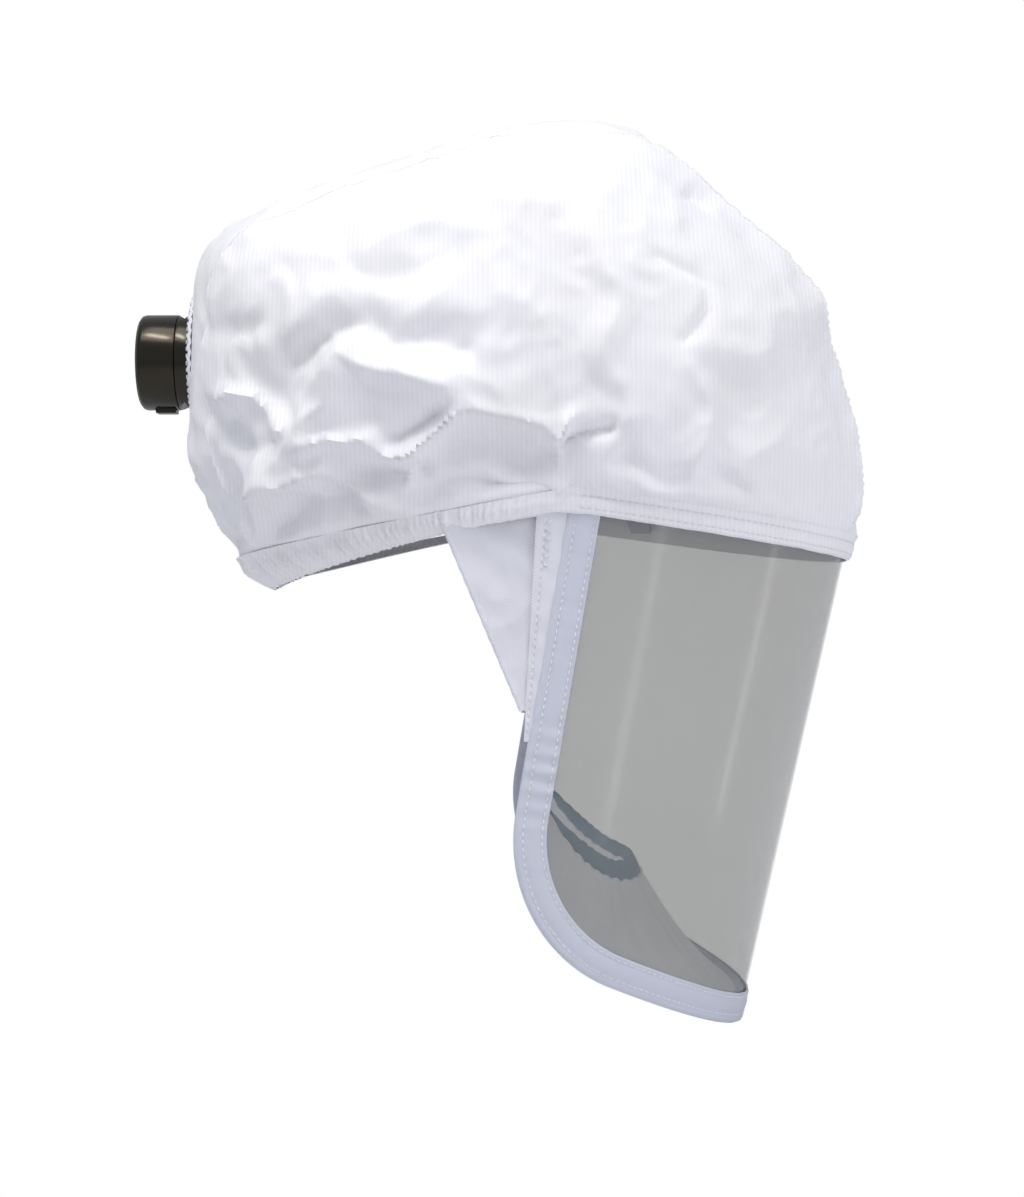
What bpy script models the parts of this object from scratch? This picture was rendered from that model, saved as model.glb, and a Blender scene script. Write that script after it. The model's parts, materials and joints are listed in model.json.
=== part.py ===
"""Head-top of a powered air respirator: a fabric hood with a clear lens, a head suspension with
a ratchet, an overhead air duct and a swivelling hose inlet.

Run with: blender --background --python part.py
Sizes are in millimetres here and become metres when a mesh is made. +X is the wearer's forward,
+Y the wearer's left and +Z up. The origin is the centre of the headband.
"""

import math

import bmesh
import bpy
from mathutils import Vector

MM = 0.001
WELD = 0.00001
GAP = 0.3  # between pieces that touch
QUARTER = math.pi / 2

# Head and headband
BAND_FRONT = 98.0
BAND_REAR = 96.0
BAND_HALF_BREADTH = 78.0
BAND_FRONT_CURVE = 58.0
BAND_REAR_CURVE = 54.0
BAND_HALF_HEIGHT = 10.0
BAND_THICKNESS = 2.2
HEAD_RISE = 58.0
PAD_THICKNESS = 3.0
ADJUST_TRAVEL = 22.0
CHANNEL_OVERLAP = 10.0
STRAP_WIDTH = 19.0
STRAP_THICKNESS = 1.2
STRAP_END = -6.0
STRAP_LOW_RUN = 20.0
STRAP_TURN = 85.0
STRAP_REAR_BEND = 12.0
STUD_RADIUS = 5.0
STUD_SHANK = 2.0

# Lens: an upright sheet, U-shaped from above, that leans back towards the chin
FACE_ROOM = 57.0
SIDE_ROOM = 34.0
LENS_THICKNESS = 1.0
LENS_DROP = 193.0
LENS_LEAN = math.radians(12.8)
LENS_DEPTH = 132.0
ROUNDNESS = 2.2  # power of the superellipse seen from above
TURN_STEP = 0.005
BROW_FRONT_Z = -36.5
BROW_SIDE_Z = -17.8
REAR_EDGE_LEAN = math.radians(9.7)
REAR_EDGE_SETBACK = 14.0
BOTTOM_RISE = math.radians(24.7)
CORNER_RADIUS = 54.0
BINDING_WIDTH = 13.5
BINDING_COVER = 12.0
BINDING_WALL = 1.0
VISOR_FRAME = 1.8

# Face seal, from the lens's bottom edge to the jaw; drops and spread are shares of the lens
SEAL_TOP = 0.42
JAW_DROP = 0.735
JAW_RISE = 45.0
JAW_SPREAD = 0.75
JAW_REACH = 52.0
JAW_SETBACK = 11.0
JAW_WRAP = math.radians(86)
JAW_ELASTIC = 8.0

# Crown cover
HEM_HEIGHT = 10.0
HEM_OFFSET = 1.5
HEM_THICKNESS = 2.4
FABRIC = 1.2
CROWN_TOP = 158.5
REAR_ROOM = 44.0
CROWN_PUFF = 16.0
SEAM_TURN = 0.28
CROSS_SEAM = 0.41
SEAM_GAP = 0.0025
REAR_HEM_REACH = 129.0
REAR_HEM_TUCK = 8.0
REAR_HEM_SIDE_Z = -19.0
REAR_HEM_DROP = 30.0
REAR_HEM_SAG = 1.4
HEM_CLOTH = 1.6
ELASTIC_THICKNESS = 1.0

# Side profile of the crown from the brow over the top to the nape, as shares of the front or
# rear reach and of the crown's top height, or of a fixed depth below the headband
CROWN_PROFILE = [
    (0.985, -0.165), (1.0, 0.0), (0.966, 0.19), (0.908, 0.38), (0.86, 0.57), (0.566, 0.86),
    (0.357, 1.0), (0.05, 1.0), (-0.27, 0.925), (-0.75, 0.795), (-0.957, 0.645), (-1.0, 0.455),
    (-1.0, 0.095), (-0.907, -0.10), (-0.85, -0.22),
]

# Hose inlet; heights are measured rearwards from the outside of the patch
INLET_HEIGHT = 55.0
COLLAR_RADIUS = 21.8
COLLAR_LENGTH = 17.6
COLLAR_LIP = 12.0
COLLAR_CHAMFER = 2.2
BASE_LENGTH = 7.2
SPIGOT_RADIUS = 17.0
BORE_RADIUS = 14.2
BARREL_RADIUS = 19.0
PATCH_RADIUS = 32.0
NUT_RADIUS = 28.0
NUT_LENGTH = 7.0
O_RING_WIRE = 0.8
RING_THICKNESS = 1.2
NOTCH_LENGTH = 5.0
NOTCH_DEPTH = 3.2
BUTTON_LENGTH = 9.4
BUTTON_WIDTH = 9.0
BUTTON_PROUD = 1.6
BUTTON_HEIGHT = 3.0
POCKET_FLOOR = 0.8
SPRING_WIRE = 0.3

# Air duct
DUCT_WIDTH = 64.0
DUCT_DEPTH = 14.0
DUCT_WALL = 1.5
DUCT_FOOT_Z = 26.0
DUCT_SHOULDER_Z = 76.0
DUCT_REAR_BEND = 30.0
DUCT_BACK_ROOM = 20.0
DUCT_NOSE_X = 20.0
DUCT_NOSE_Z = 36.0

# Ratchet
PINION_TEETH = 12
TOOTH_MODULE = 1.0
TOOTH_SHARE = 0.37  # tooth width at the pitch line over the pitch; the rest is play
RACK_THICKNESS = 3.0
RACK_HEIGHT = 5.0
RACK_LENGTH = 42.0
RACK_OVERLAP = 8.0
COVER_WIDTH = 84.0
COVER_HEIGHT = 27.0
COVER_DEPTH = 9.0
COVER_WALL = 1.5
SHAFT_RADIUS = 4.0
KNOB_RADIUS = 15.0
KNOB_THICKNESS = 9.0
KNOB_LOBES = 12
SCREW_RADIUS = 1.5

# Sizes that follow from the ones above
LENS_HALF_WIDTH = BAND_HALF_BREADTH + SIDE_ROOM
LENS_CENTRE_X = BAND_FRONT + FACE_ROOM - LENS_DEPTH
HEM_OUTER = HEM_OFFSET + HEM_THICKNESS
CROWN_REAR = BAND_REAR + REAR_ROOM
INLET_X = -CROWN_REAR
CRADLE_OUTER = BAND_THICKNESS + GAP + BAND_THICKNESS
COVER_BACK_X = -(BAND_REAR + CRADLE_OUTER + GAP)
PITCH_RADIUS = PINION_TEETH * TOOTH_MODULE / 2

MATERIALS = {
    # name: colour, roughness, metallic, alpha
    "crown_fabric": ((0.86, 0.86, 0.89), 0.75, 0.0, 1.0),
    "smooth_fabric": ((0.80, 0.79, 0.84), 0.7, 0.0, 1.0),
    "binding_tape": ((0.62, 0.64, 0.72), 0.75, 0.0, 1.0),
    "seal_fabric": ((0.78, 0.78, 0.80), 0.8, 0.0, 1.0),
    "teal_elastic": ((0.04, 0.17, 0.24), 0.85, 0.0, 1.0),
    "white_elastic": ((0.7, 0.7, 0.7), 0.85, 0.0, 1.0),
    "clear_sheet": ((0.6, 0.6, 0.57), 0.08, 0.0, 0.4),
    "black_plastic": ((0.008, 0.008, 0.01), 0.25, 0.0, 1.0),
    "dark_grey_plastic": ((0.05, 0.05, 0.055), 0.4, 0.0, 1.0),
    "grey_plastic": ((0.35, 0.36, 0.38), 0.4, 0.0, 1.0),
    "black_rubber": ((0.02, 0.02, 0.02), 0.7, 0.0, 1.0),
    "black_foam": ((0.03, 0.03, 0.035), 0.95, 0.0, 1.0),
    "spring_steel": ((0.6, 0.6, 0.6), 0.3, 1.0, 1.0),
}


# ---------------------------------------------------------------- scene and materials


def clear_scene():
    for obj in list(bpy.data.objects):
        bpy.data.objects.remove(obj)


def make_collection(name):
    collection = bpy.data.collections.new(name)
    bpy.context.scene.collection.children.link(collection)
    return collection


def material(name):
    found = bpy.data.materials.get(name)
    if found:
        return found
    colour, roughness, metallic, alpha = MATERIALS[name]
    made = bpy.data.materials.new(name)
    made.use_nodes = True
    shader = made.node_tree.nodes["Principled BSDF"]
    shader.inputs["Base Color"].default_value = (*colour, 1.0)
    shader.inputs["Roughness"].default_value = roughness
    shader.inputs["Metallic"].default_value = metallic
    shader.inputs["Alpha"].default_value = alpha
    return made


def add_mesh(name, bm, material_name, parent=None):
    mesh = bpy.data.meshes.new(name)
    bm.to_mesh(mesh)
    bm.free()
    mesh.shade_smooth()
    mesh.set_sharp_from_angle(angle=math.radians(35))
    mesh.materials.append(material(material_name))
    obj = bpy.data.objects.new(name, mesh)
    obj.parent = parent
    PARTS.objects.link(obj)
    return obj


def add_frame(name, x, z, rearward=False):
    """An empty; a rearward one has its own +Z along the world's -X and its +X up."""
    frame = bpy.data.objects.new(name, None)
    frame.location = Vector((x, 0.0, z)) * MM
    if rearward:
        frame.rotation_euler = (0.0, -QUARTER, 0.0)
    PARTS.objects.link(frame)
    return frame


def cut(obj, cutter, operation="DIFFERENCE"):
    """Boolean with a cutter, which leaves the part collection."""
    PARTS.objects.unlink(cutter)
    CUTTERS.objects.link(cutter)
    cutter.hide_render = True
    cutter.display_type = "WIRE"
    modifier = obj.modifiers.new(cutter.name, "BOOLEAN")
    modifier.operation = operation
    modifier.object = cutter


# ---------------------------------------------------------------- ways to make a shape


def skin(name, point, columns, rows, thickness, material_name, outward=True, parent=None):
    """A grid laid on the surface point(u, v), then thickened outwards or inwards."""
    bm = bmesh.new()
    bmesh.ops.create_grid(bm, x_segments=columns, y_segments=rows, size=1.0)
    for vert in bm.verts:
        vert.co = Vector(point((vert.co.x + 1) / 2, (vert.co.y + 1) / 2)) * MM
    bmesh.ops.remove_doubles(bm, verts=bm.verts, dist=WELD)
    obj = add_mesh(name, bm, material_name, parent)
    solidify = obj.modifiers.new("thickness", "SOLIDIFY")
    solidify.thickness = thickness * MM
    solidify.offset = 1.0 if outward else -1.0
    return obj


def sweep(name, stations, section, material_name, parent=None):
    """A closed section carried along stations of (origin, first axis, second axis)."""
    bm = bmesh.new()
    rings = []
    for origin, first, second in stations:
        ring = [bm.verts.new((origin + first * a + second * b) * MM) for a, b in section]
        rings.append(ring)
    for ring, following in zip(rings, rings[1:]):
        for i in range(len(section)):
            j = (i + 1) % len(section)
            bm.faces.new((ring[i], ring[j], following[j], following[i]))
    bm.faces.new(rings[0])
    bm.faces.new(rings[-1])
    bmesh.ops.recalc_face_normals(bm, faces=bm.faces)
    return add_mesh(name, bm, material_name, parent)


def turned(name, profile, material_name, parent=None, steps=48):
    """A profile of (radius, height) about the local Z axis, its outer side first, going down."""
    bm = bmesh.new()
    verts = [bm.verts.new((radius * MM, 0.0, height * MM)) for radius, height in profile]
    for start, end in zip(verts, verts[1:] + verts[:1]):
        bm.edges.new((start, end))
    obj = add_mesh(name, bm, material_name, parent)
    screw = obj.modifiers.new("turn", "SCREW")
    screw.steps = steps
    screw.render_steps = steps
    screw.use_merge_vertices = True
    screw.merge_threshold = WELD
    return obj


def box(name, size, centre, material_name, parent=None):
    bm = bmesh.new()
    bmesh.ops.create_cube(bm, size=1.0)
    for vert in bm.verts:
        place = (vert.co[axis] * size[axis] + centre[axis] for axis in range(3))
        vert.co = Vector(place) * MM
    return add_mesh(name, bm, material_name, parent)


def cylinder(name, radius, low, high, material_name, parent=None, segments=32):
    """A cylinder along the parent's Z axis, from one height to the other."""
    bm = bmesh.new()
    bmesh.ops.create_cone(bm, cap_ends=True, segments=segments, radius1=radius * MM,
                          radius2=radius * MM, depth=(high - low) * MM)
    bmesh.ops.translate(bm, verts=bm.verts, vec=(0.0, 0.0, (low + high) / 2 * MM))
    return add_mesh(name, bm, material_name, parent)


def outlined(name, loops, thickness, material_name, parent=None, upright=False):
    """A flat piece from closed loops, the first its edge and the others holes.

    An upright one stands in the XZ plane. It is a mesh, so that it can be cut.
    """
    curve = bpy.data.curves.new(name, "CURVE")
    curve.dimensions = "2D"
    curve.fill_mode = "BOTH"
    curve.extrude = thickness / 2 * MM
    for loop in loops:
        spline = curve.splines.new("POLY")
        spline.points.add(len(loop) - 1)
        spline.use_cyclic_u = True
        for point, (a, b) in zip(spline.points, loop):
            point.co = (a * MM, b * MM, 0.0, 1.0)
    drawn = bpy.data.objects.new(name + "_outline", curve)
    PARTS.objects.link(drawn)
    bpy.context.view_layer.update()
    mesh = bpy.data.meshes.new_from_object(drawn.evaluated_get(bpy.context.evaluated_depsgraph_get()))
    bpy.data.objects.remove(drawn)
    bm = bmesh.new()
    bm.from_mesh(mesh)
    bmesh.ops.remove_doubles(bm, verts=bm.verts, dist=WELD)
    if upright:
        for vert in bm.verts:
            vert.co = (vert.co.x, -vert.co.z, vert.co.y)
    bmesh.ops.recalc_face_normals(bm, faces=bm.faces)
    return add_mesh(name, bm, material_name, parent)


def trace(start, heading, moves, step=5.0):
    """Points of a flat route with the heading at each: ("line", length) or ("arc", radius, turn).

    Headings and turns are in degrees, left turns positive; step is the degrees between points.
    """
    x, z = start
    route = [(x, z, heading)]
    for kind, length, *turn in moves:
        if kind == "line":
            x += length * math.cos(math.radians(heading))
            z += length * math.sin(math.radians(heading))
            route.append((x, z, heading))
            continue
        count = max(2, math.ceil(abs(turn[0]) / step))
        chord = 2 * length * math.sin(math.radians(abs(turn[0])) / count / 2)
        for _ in range(count):
            heading += turn[0] / count / 2
            x += chord * math.cos(math.radians(heading))
            z += chord * math.sin(math.radians(heading))
            heading += turn[0] / count / 2
            route.append((x, z, heading))
    return route


def route_stations(route, side, across=(0, 1, 0)):
    """Stations along a flat route: first axis out of its bend, second axis across it."""
    across = Vector(across)
    forward = Vector((across.y, across.x, 0.0))
    stations = []
    for along, height, heading in route:
        angle = math.radians(heading)
        out = (forward * math.sin(angle) - Vector((0, 0, math.cos(angle)))) * side
        stations.append((forward * along + Vector((0, 0, height)), out, across))
    return stations


def spline_point(points, share):
    """A point on the smooth curve through the points, share 0 to 1 of the way along."""
    place = min(share, 0.999999) * (len(points) - 1)
    index = int(place)
    t = place - index
    last = len(points) - 1
    p0, p1, p2, p3 = (Vector(points[min(max(index + k, 0), last)]) for k in (-1, 0, 1, 2))
    return 0.5 * ((2 * p1) + (p2 - p0) * t + (2 * p0 - 5 * p1 + 4 * p2 - p3) * t * t
                  + (3 * p1 - p0 - 3 * p2 + p3) * t ** 3)


def oval(turn):
    """Shares (ahead, beside) on the superellipse; turn is 0 in front and 1 or -1 at the sides."""
    ahead = max(math.cos(turn * QUARTER), 0.0) ** (2 / ROUNDNESS)
    beside = math.copysign(abs(math.sin(turn * QUARTER)) ** (2 / ROUNDNESS), turn)
    return ahead, beside


# ---------------------------------------------------------------- lens and its edge


def lens_centre_x(z):
    return LENS_CENTRE_X + (z - BROW_FRONT_Z) * math.tan(LENS_LEAN)


def lens_point(turn, z, offset=0.0):
    """A point offset outwards from the lens; turn runs from -1 on the right to 1 on the left."""
    ahead, beside = oval(turn)
    x = lens_centre_x(z) + (LENS_DEPTH + offset) * ahead
    return x, (LENS_HALF_WIDTH + offset) * beside, z


def brow_z(turn, rise=0.0):
    """Height above the brow hem's lower edge."""
    return BROW_SIDE_Z + (BROW_FRONT_Z - BROW_SIDE_Z) * oval(turn)[0] + rise


def visor_lines(grow):
    """Corner centre, rear edge point and bottom edge point of the side profile, grown outwards."""
    bottom_z = BROW_FRONT_Z - LENS_DROP
    bottom = Vector((lens_centre_x(bottom_z) + LENS_DEPTH, bottom_z))
    rear = Vector((lens_centre_x(BROW_SIDE_Z) + REAR_EDGE_SETBACK, BROW_SIDE_Z))
    rear_out = Vector((-math.cos(REAR_EDGE_LEAN), math.sin(REAR_EDGE_LEAN)))
    bottom_out = Vector((-math.sin(BOTTOM_RISE), -math.cos(BOTTOM_RISE)))
    start = rear - rear_out * CORNER_RADIUS
    down = Vector((-math.sin(REAR_EDGE_LEAN), -math.cos(REAR_EDGE_LEAN)))
    depth = (start - bottom).dot(bottom_out) + CORNER_RADIUS
    centre = start + down * (-depth / down.dot(bottom_out))
    return centre, rear_out, bottom_out, rear + rear_out * grow, bottom + bottom_out * grow


def corner_arc(centre, first, last, radius, count):
    """Points round the lens's lower rear corner, between two directions out of its centre."""
    start = math.atan2(first.y, first.x)
    end = math.atan2(last.y, last.x)
    if end - start > math.pi:
        end -= 2 * math.pi
    if start - end > math.pi:
        end += 2 * math.pi
    points = []
    for i in range(count + 1):
        angle = start + (end - start) * i / count
        points.append(centre + Vector((math.cos(angle), math.sin(angle))) * radius)
    return points


def visor_edge(grow, offset, top=None, low_share=14, arc_share=10, rear_share=4):
    """Half of the lens's edge on the left side, from the front centre down, round and up."""
    centre, rear_out, bottom_out, rear, bottom = visor_lines(grow)
    radius = CORNER_RADIUS + grow
    arc = corner_arc(centre, bottom_out, rear_out, radius, arc_share)
    slope = math.tan(BOTTOM_RISE)
    lean = math.tan(LENS_LEAN)
    base = bottom.y + slope * (bottom.x - LENS_CENTRE_X + BROW_FRONT_Z * lean)

    def bottom_z(turn):
        return (base - slope * LENS_DEPTH * oval(turn)[0]) / (1 + slope * lean)

    def bottom_x(turn):
        return lens_centre_x(bottom_z(turn)) + LENS_DEPTH * oval(turn)[0]

    last_turn = 0.0
    while bottom_x(last_turn + TURN_STEP) > arc[0].x:
        last_turn += TURN_STEP
    turns = [last_turn * i / low_share for i in range(low_share)]
    flat = [Vector(lens_point(turn, bottom_z(turn), offset)) for turn in turns]
    rear_start = arc.pop()
    top_z = brow_z(1.0, -GAP) if top is None else top
    rear_end = rear_start + (top_z - rear_start.y) * Vector((math.tan(REAR_EDGE_LEAN), 1.0))
    side = arc + [rear_start.lerp(rear_end, i / rear_share) for i in range(rear_share + 1)]
    return flat + [on_lens(x, z, offset) for x, z in side]


def on_lens(x, z, offset):
    """The point on the left side of the lens that lies at x and z."""
    share = min(max((x - lens_centre_x(z)) / LENS_DEPTH, 0.0), 1.0)
    beside = (1 - share ** ROUNDNESS) ** (1 / ROUNDNESS)
    return Vector((x, (LENS_HALF_WIDTH + offset) * beside, z))


def mirrored(half):
    """A route from the right end to the left end, from its left half."""
    return [Vector((p.x, -p.y, p.z)) for p in reversed(half[1:])] + half


def lens_normal(point):
    share = max((point.x - lens_centre_x(point.z)) / LENS_DEPTH, 0.0)
    side = abs(point.y) / LENS_HALF_WIDTH
    normal = Vector((share ** (ROUNDNESS - 1) / LENS_DEPTH,
                     math.copysign(side ** (ROUNDNESS - 1), point.y) / LENS_HALF_WIDTH, 0.0))
    normal.z = -normal.x * math.tan(LENS_LEAN)
    return normal.normalized()


def make_lens():
    rise = HEM_HEIGHT - GAP
    depth = LENS_DROP + 2 * BINDING_WIDTH

    def place(u, v):
        turn = 2 * u - 1
        top = brow_z(turn, rise)
        return lens_point(turn, top - (1 - v) * (depth + rise), LENS_THICKNESS / -2)

    lens = skin("lens", place, 60, 1, LENS_THICKNESS, "clear_sheet")
    centre, rear_out, bottom_out, rear, bottom = visor_lines(BINDING_COVER)
    arc = corner_arc(centre, rear_out, bottom_out, CORNER_RADIUS + BINDING_COVER, 16)
    above = 60.0
    upper = rear + Vector((math.tan(REAR_EDGE_LEAN), 1.0)) * above
    ahead = bottom + Vector((1.0, -math.tan(BOTTOM_RISE))) * above
    loop = [upper, *arc, ahead, (ahead.x + 2 * above, upper.y)]
    keep = outlined("lens_trim", [loop], 3 * LENS_HALF_WIDTH, "clear_sheet", upright=True)
    cut(lens, keep, "INTERSECT")


def make_binding():
    """Folded tape: a U section whose slot holds the lens's edge."""
    route = mirrored(visor_edge(BINDING_COVER, 0.0))
    stations = []
    for i, point in enumerate(route):
        before = route[max(i - 1, 0)]
        after = route[min(i + 1, len(route) - 1)]
        normal = lens_normal(point)
        inward = normal.cross((after - before).normalized()).normalized()
        stations.append((point, inward, normal))
    slot = LENS_THICKNESS / 2 + 2 * GAP
    outer = slot + BINDING_WALL
    back = BINDING_COVER - BINDING_WIDTH
    section = [(back, -outer), (BINDING_COVER, -outer), (BINDING_COVER, -slot), (-GAP, -slot),
               (-GAP, slot), (BINDING_COVER, slot), (BINDING_COVER, outer), (back, outer)]
    sweep("lens_binding", stations, section, "binding_tape")


def make_visor_frame():
    inner = -(LENS_THICKNESS / 2 + GAP)

    def place(u, v):
        turn = 1.9 * u - 0.95
        return lens_point(turn, brow_z(turn, v * (HEM_HEIGHT - GAP)), inner)

    skin("visor_frame", place, 36, 1, VISOR_FRAME, "grey_plastic", outward=False)
    for side, label in ((-1, "right"), (1, "left")):
        turn = 0.8 * side
        height = brow_z(turn, HEM_HEIGHT / 2)
        hold = Vector(lens_point(turn, height, inner - VISOR_FRAME - 6 * GAP))
        inside = Vector(band_point(0.544 * side, 0.0, BAND_THICKNESS + 6 * GAP))
        arm = (hold - inside).normalized()
        up = Vector((0, 0, 1))
        across = arm.cross(up).normalized()
        lift = across.cross(arm)
        section = [(-5, -1.5), (5, -1.5), (5, 1.5), (-5, 1.5)]
        stations = [(inside, across, lift), (hold, across, lift)]
        sweep(f"frame_arm_{label}", stations, section, "grey_plastic")


# ---------------------------------------------------------------- face seal


def seal_rims(count=28):
    """Outer rim inside the lens's bottom edge and inner rim at the jaw, right to left."""
    wall = LENS_THICKNESS / 2 + 2 * GAP + BINDING_WALL + GAP
    half = visor_edge(2.0, -wall - FABRIC, top=BROW_FRONT_Z - SEAL_TOP * LENS_DROP)
    outer = mirrored(half)
    picked = [outer[round(i * (len(outer) - 1) / count)] for i in range(count + 1)]
    jaw_z = BROW_FRONT_Z - JAW_DROP * LENS_DROP
    inner = []
    for i in range(count + 1):
        turn = 2 * i / count - 1
        angle = turn * JAW_WRAP
        x = LENS_CENTRE_X - JAW_SETBACK + JAW_REACH * math.cos(angle)
        y = JAW_SPREAD * LENS_HALF_WIDTH * math.sin(angle)
        inner.append(Vector((x, y, jaw_z + JAW_RISE * turn ** 4)))
    return picked, inner


def make_face_seal():
    outer, inner = seal_rims()
    last = len(outer) - 1

    def place(u, v):
        i = round(u * last)
        sag = Vector((0, 0, -6 * math.sin(math.pi * v)))
        return outer[i].lerp(inner[i], v) + sag

    skin("face_seal", place, last, 3, FABRIC, "seal_fabric", outward=False)

    def band(u, v):
        i = round(u * last)
        towards = (inner[i] - outer[i]).normalized()
        return inner[i] + towards * (GAP + JAW_ELASTIC * v) + Vector((0, 0, JAW_ELASTIC / 2 * v))

    skin("face_seal_elastic", band, last, 1, ELASTIC_THICKNESS, "teal_elastic", outward=False)


# ---------------------------------------------------------------- crown cover


def crown_pole():
    return Vector((lens_centre_x(BROW_SIDE_Z + HEM_HEIGHT), BROW_SIDE_Z + HEM_HEIGHT + GAP))


def crown_profile():
    """The side profile in millimetres; it starts just above the brow hem."""
    front = lens_centre_x(0.0) + LENS_DEPTH + HEM_OUTER - 3.0
    below = (BROW_FRONT_Z + HEM_HEIGHT + GAP) / CROWN_PROFILE[0][1]
    points = []
    for x, z in CROWN_PROFILE:
        reach = front if x > 0 else CROWN_REAR
        points.append((x * reach, z * (CROWN_TOP if z > 0 else below)))
    return points


def crown_point(along, turn):
    """Crown surface; along runs from the brow to the nape, turn is 1 at the right side."""
    pole = crown_pole()
    ahead, beside = oval(turn)
    rim = spline_point(crown_profile(), along)
    centre = pole + (rim - pole) * ahead
    puff = math.sqrt(max(math.sin(math.pi * along), 0.0)) * math.sin(math.pi * (1 - abs(turn)) ** 0.7)
    half = (LENS_HALF_WIDTH + HEM_OUTER) * abs(beside) + CROWN_PUFF * puff
    return centre.x, -math.copysign(half, turn) if turn else 0.0, centre.y


def crown_panel(name, along, turn, columns, rows):
    """A panel between two places along the profile and two turns."""

    def place(u, v):
        return crown_point(along[0] + (along[1] - along[0]) * u, turn[0] + (turn[1] - turn[0]) * v)

    return skin(name, place, columns, rows, FABRIC, "crown_fabric", outward=False)


def make_crown():
    seam = SEAM_TURN + SEAM_GAP
    middle = (-SEAM_TURN + SEAM_GAP, SEAM_TURN - SEAM_GAP)
    crown_panel("side_panel_left", (0, 1), (-1, -seam), 28, 7)
    crown_panel("side_panel_right", (0, 1), (seam, 1), 28, 7)
    crown_panel("front_panel", (0, CROSS_SEAM - SEAM_GAP / 2), middle, 12, 6)
    rear = crown_panel("crown_panel", (CROSS_SEAM + SEAM_GAP / 2, 1), middle, 17, 6)
    hole = cylinder("inlet_hole", PATCH_RADIUS + GAP, -10, 10, "crown_fabric", INLET)
    cut(rear, hole)


def rear_hem_point(u, v, inset=0.0):
    """Rear casing from the left side round the nape to the right; v is 0 at its lower edge."""
    ahead, beside = oval(1 - 2 * u)
    pole = crown_pole()
    nape = crown_profile()[-1]
    high = Vector((pole.x - 1 + (nape[0] - pole.x) * ahead, pole.y - GAP + (nape[1] - pole.y) * ahead))
    low = Vector((pole.x - 6 - REAR_HEM_REACH * ahead,
                  REAR_HEM_SIDE_Z - REAR_HEM_DROP * ahead ** REAR_HEM_SAG))
    centre = low.lerp(high, 0.9 * v)
    half = LENS_HALF_WIDTH + HEM_OUTER - REAR_HEM_TUCK * (1 - v) * 0.4 - inset
    return centre.x + inset * ahead, half * beside, centre.y


def make_hems():
    skin("brow_hem",
         lambda u, v: lens_point(2 * u - 1, brow_z(2 * u - 1, v * HEM_HEIGHT), HEM_OFFSET),
         44, 1, HEM_THICKNESS, "crown_fabric")
    skin("rear_hem", rear_hem_point, 32, 1, HEM_CLOTH, "crown_fabric", outward=False)
    inside = 2 * HEM_CLOTH
    skin("rear_elastic", lambda u, v: rear_hem_point(0.04 + 0.92 * u, 0.25 + 0.5 * v, inside),
         32, 1, ELASTIC_THICKNESS, "white_elastic", outward=False)


def binding_rear_x(z):
    """Rear edge of the lens binding in the side view."""
    _, rear_out, _, rear, _ = visor_lines(BINDING_WIDTH)
    return rear.x + (z - rear.y) * math.tan(REAR_EDGE_LEAN)


def make_cheeks():
    """Flat triangles behind the lens and the seam strips that join them to its binding."""
    top = REAR_HEM_SIDE_Z - 3.0
    strip_foot = BROW_FRONT_Z - 0.38 * LENS_DROP
    cheek_foot = BROW_FRONT_Z - 0.31 * LENS_DROP
    strip_width = 11.0
    strip = [(binding_rear_x(top) - 1, top), (binding_rear_x(strip_foot) - 1, strip_foot),
             (binding_rear_x(strip_foot) - 4, strip_foot),
             (binding_rear_x(top) - 1 - strip_width, top)]
    front_top = strip[3][0] - GAP
    front_foot = front_top + (strip[2][0] - strip[3][0]) * (top - cheek_foot) / (top - strip_foot)
    cheek = [(front_top, top), (front_foot, cheek_foot), (front_foot - 2, cheek_foot),
             (front_top - 39, top - 5)]
    for side, label in ((-1, "right"), (1, "left")):
        centre = (LENS_HALF_WIDTH - 1) * side * MM
        for name, loop in (("side_strip", strip), ("cheek_panel", cheek)):
            panel = outlined(f"{name}_{label}", [loop], FABRIC, "smooth_fabric", upright=True)
            panel.location.y = centre


# ---------------------------------------------------------------- hose inlet


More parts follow.
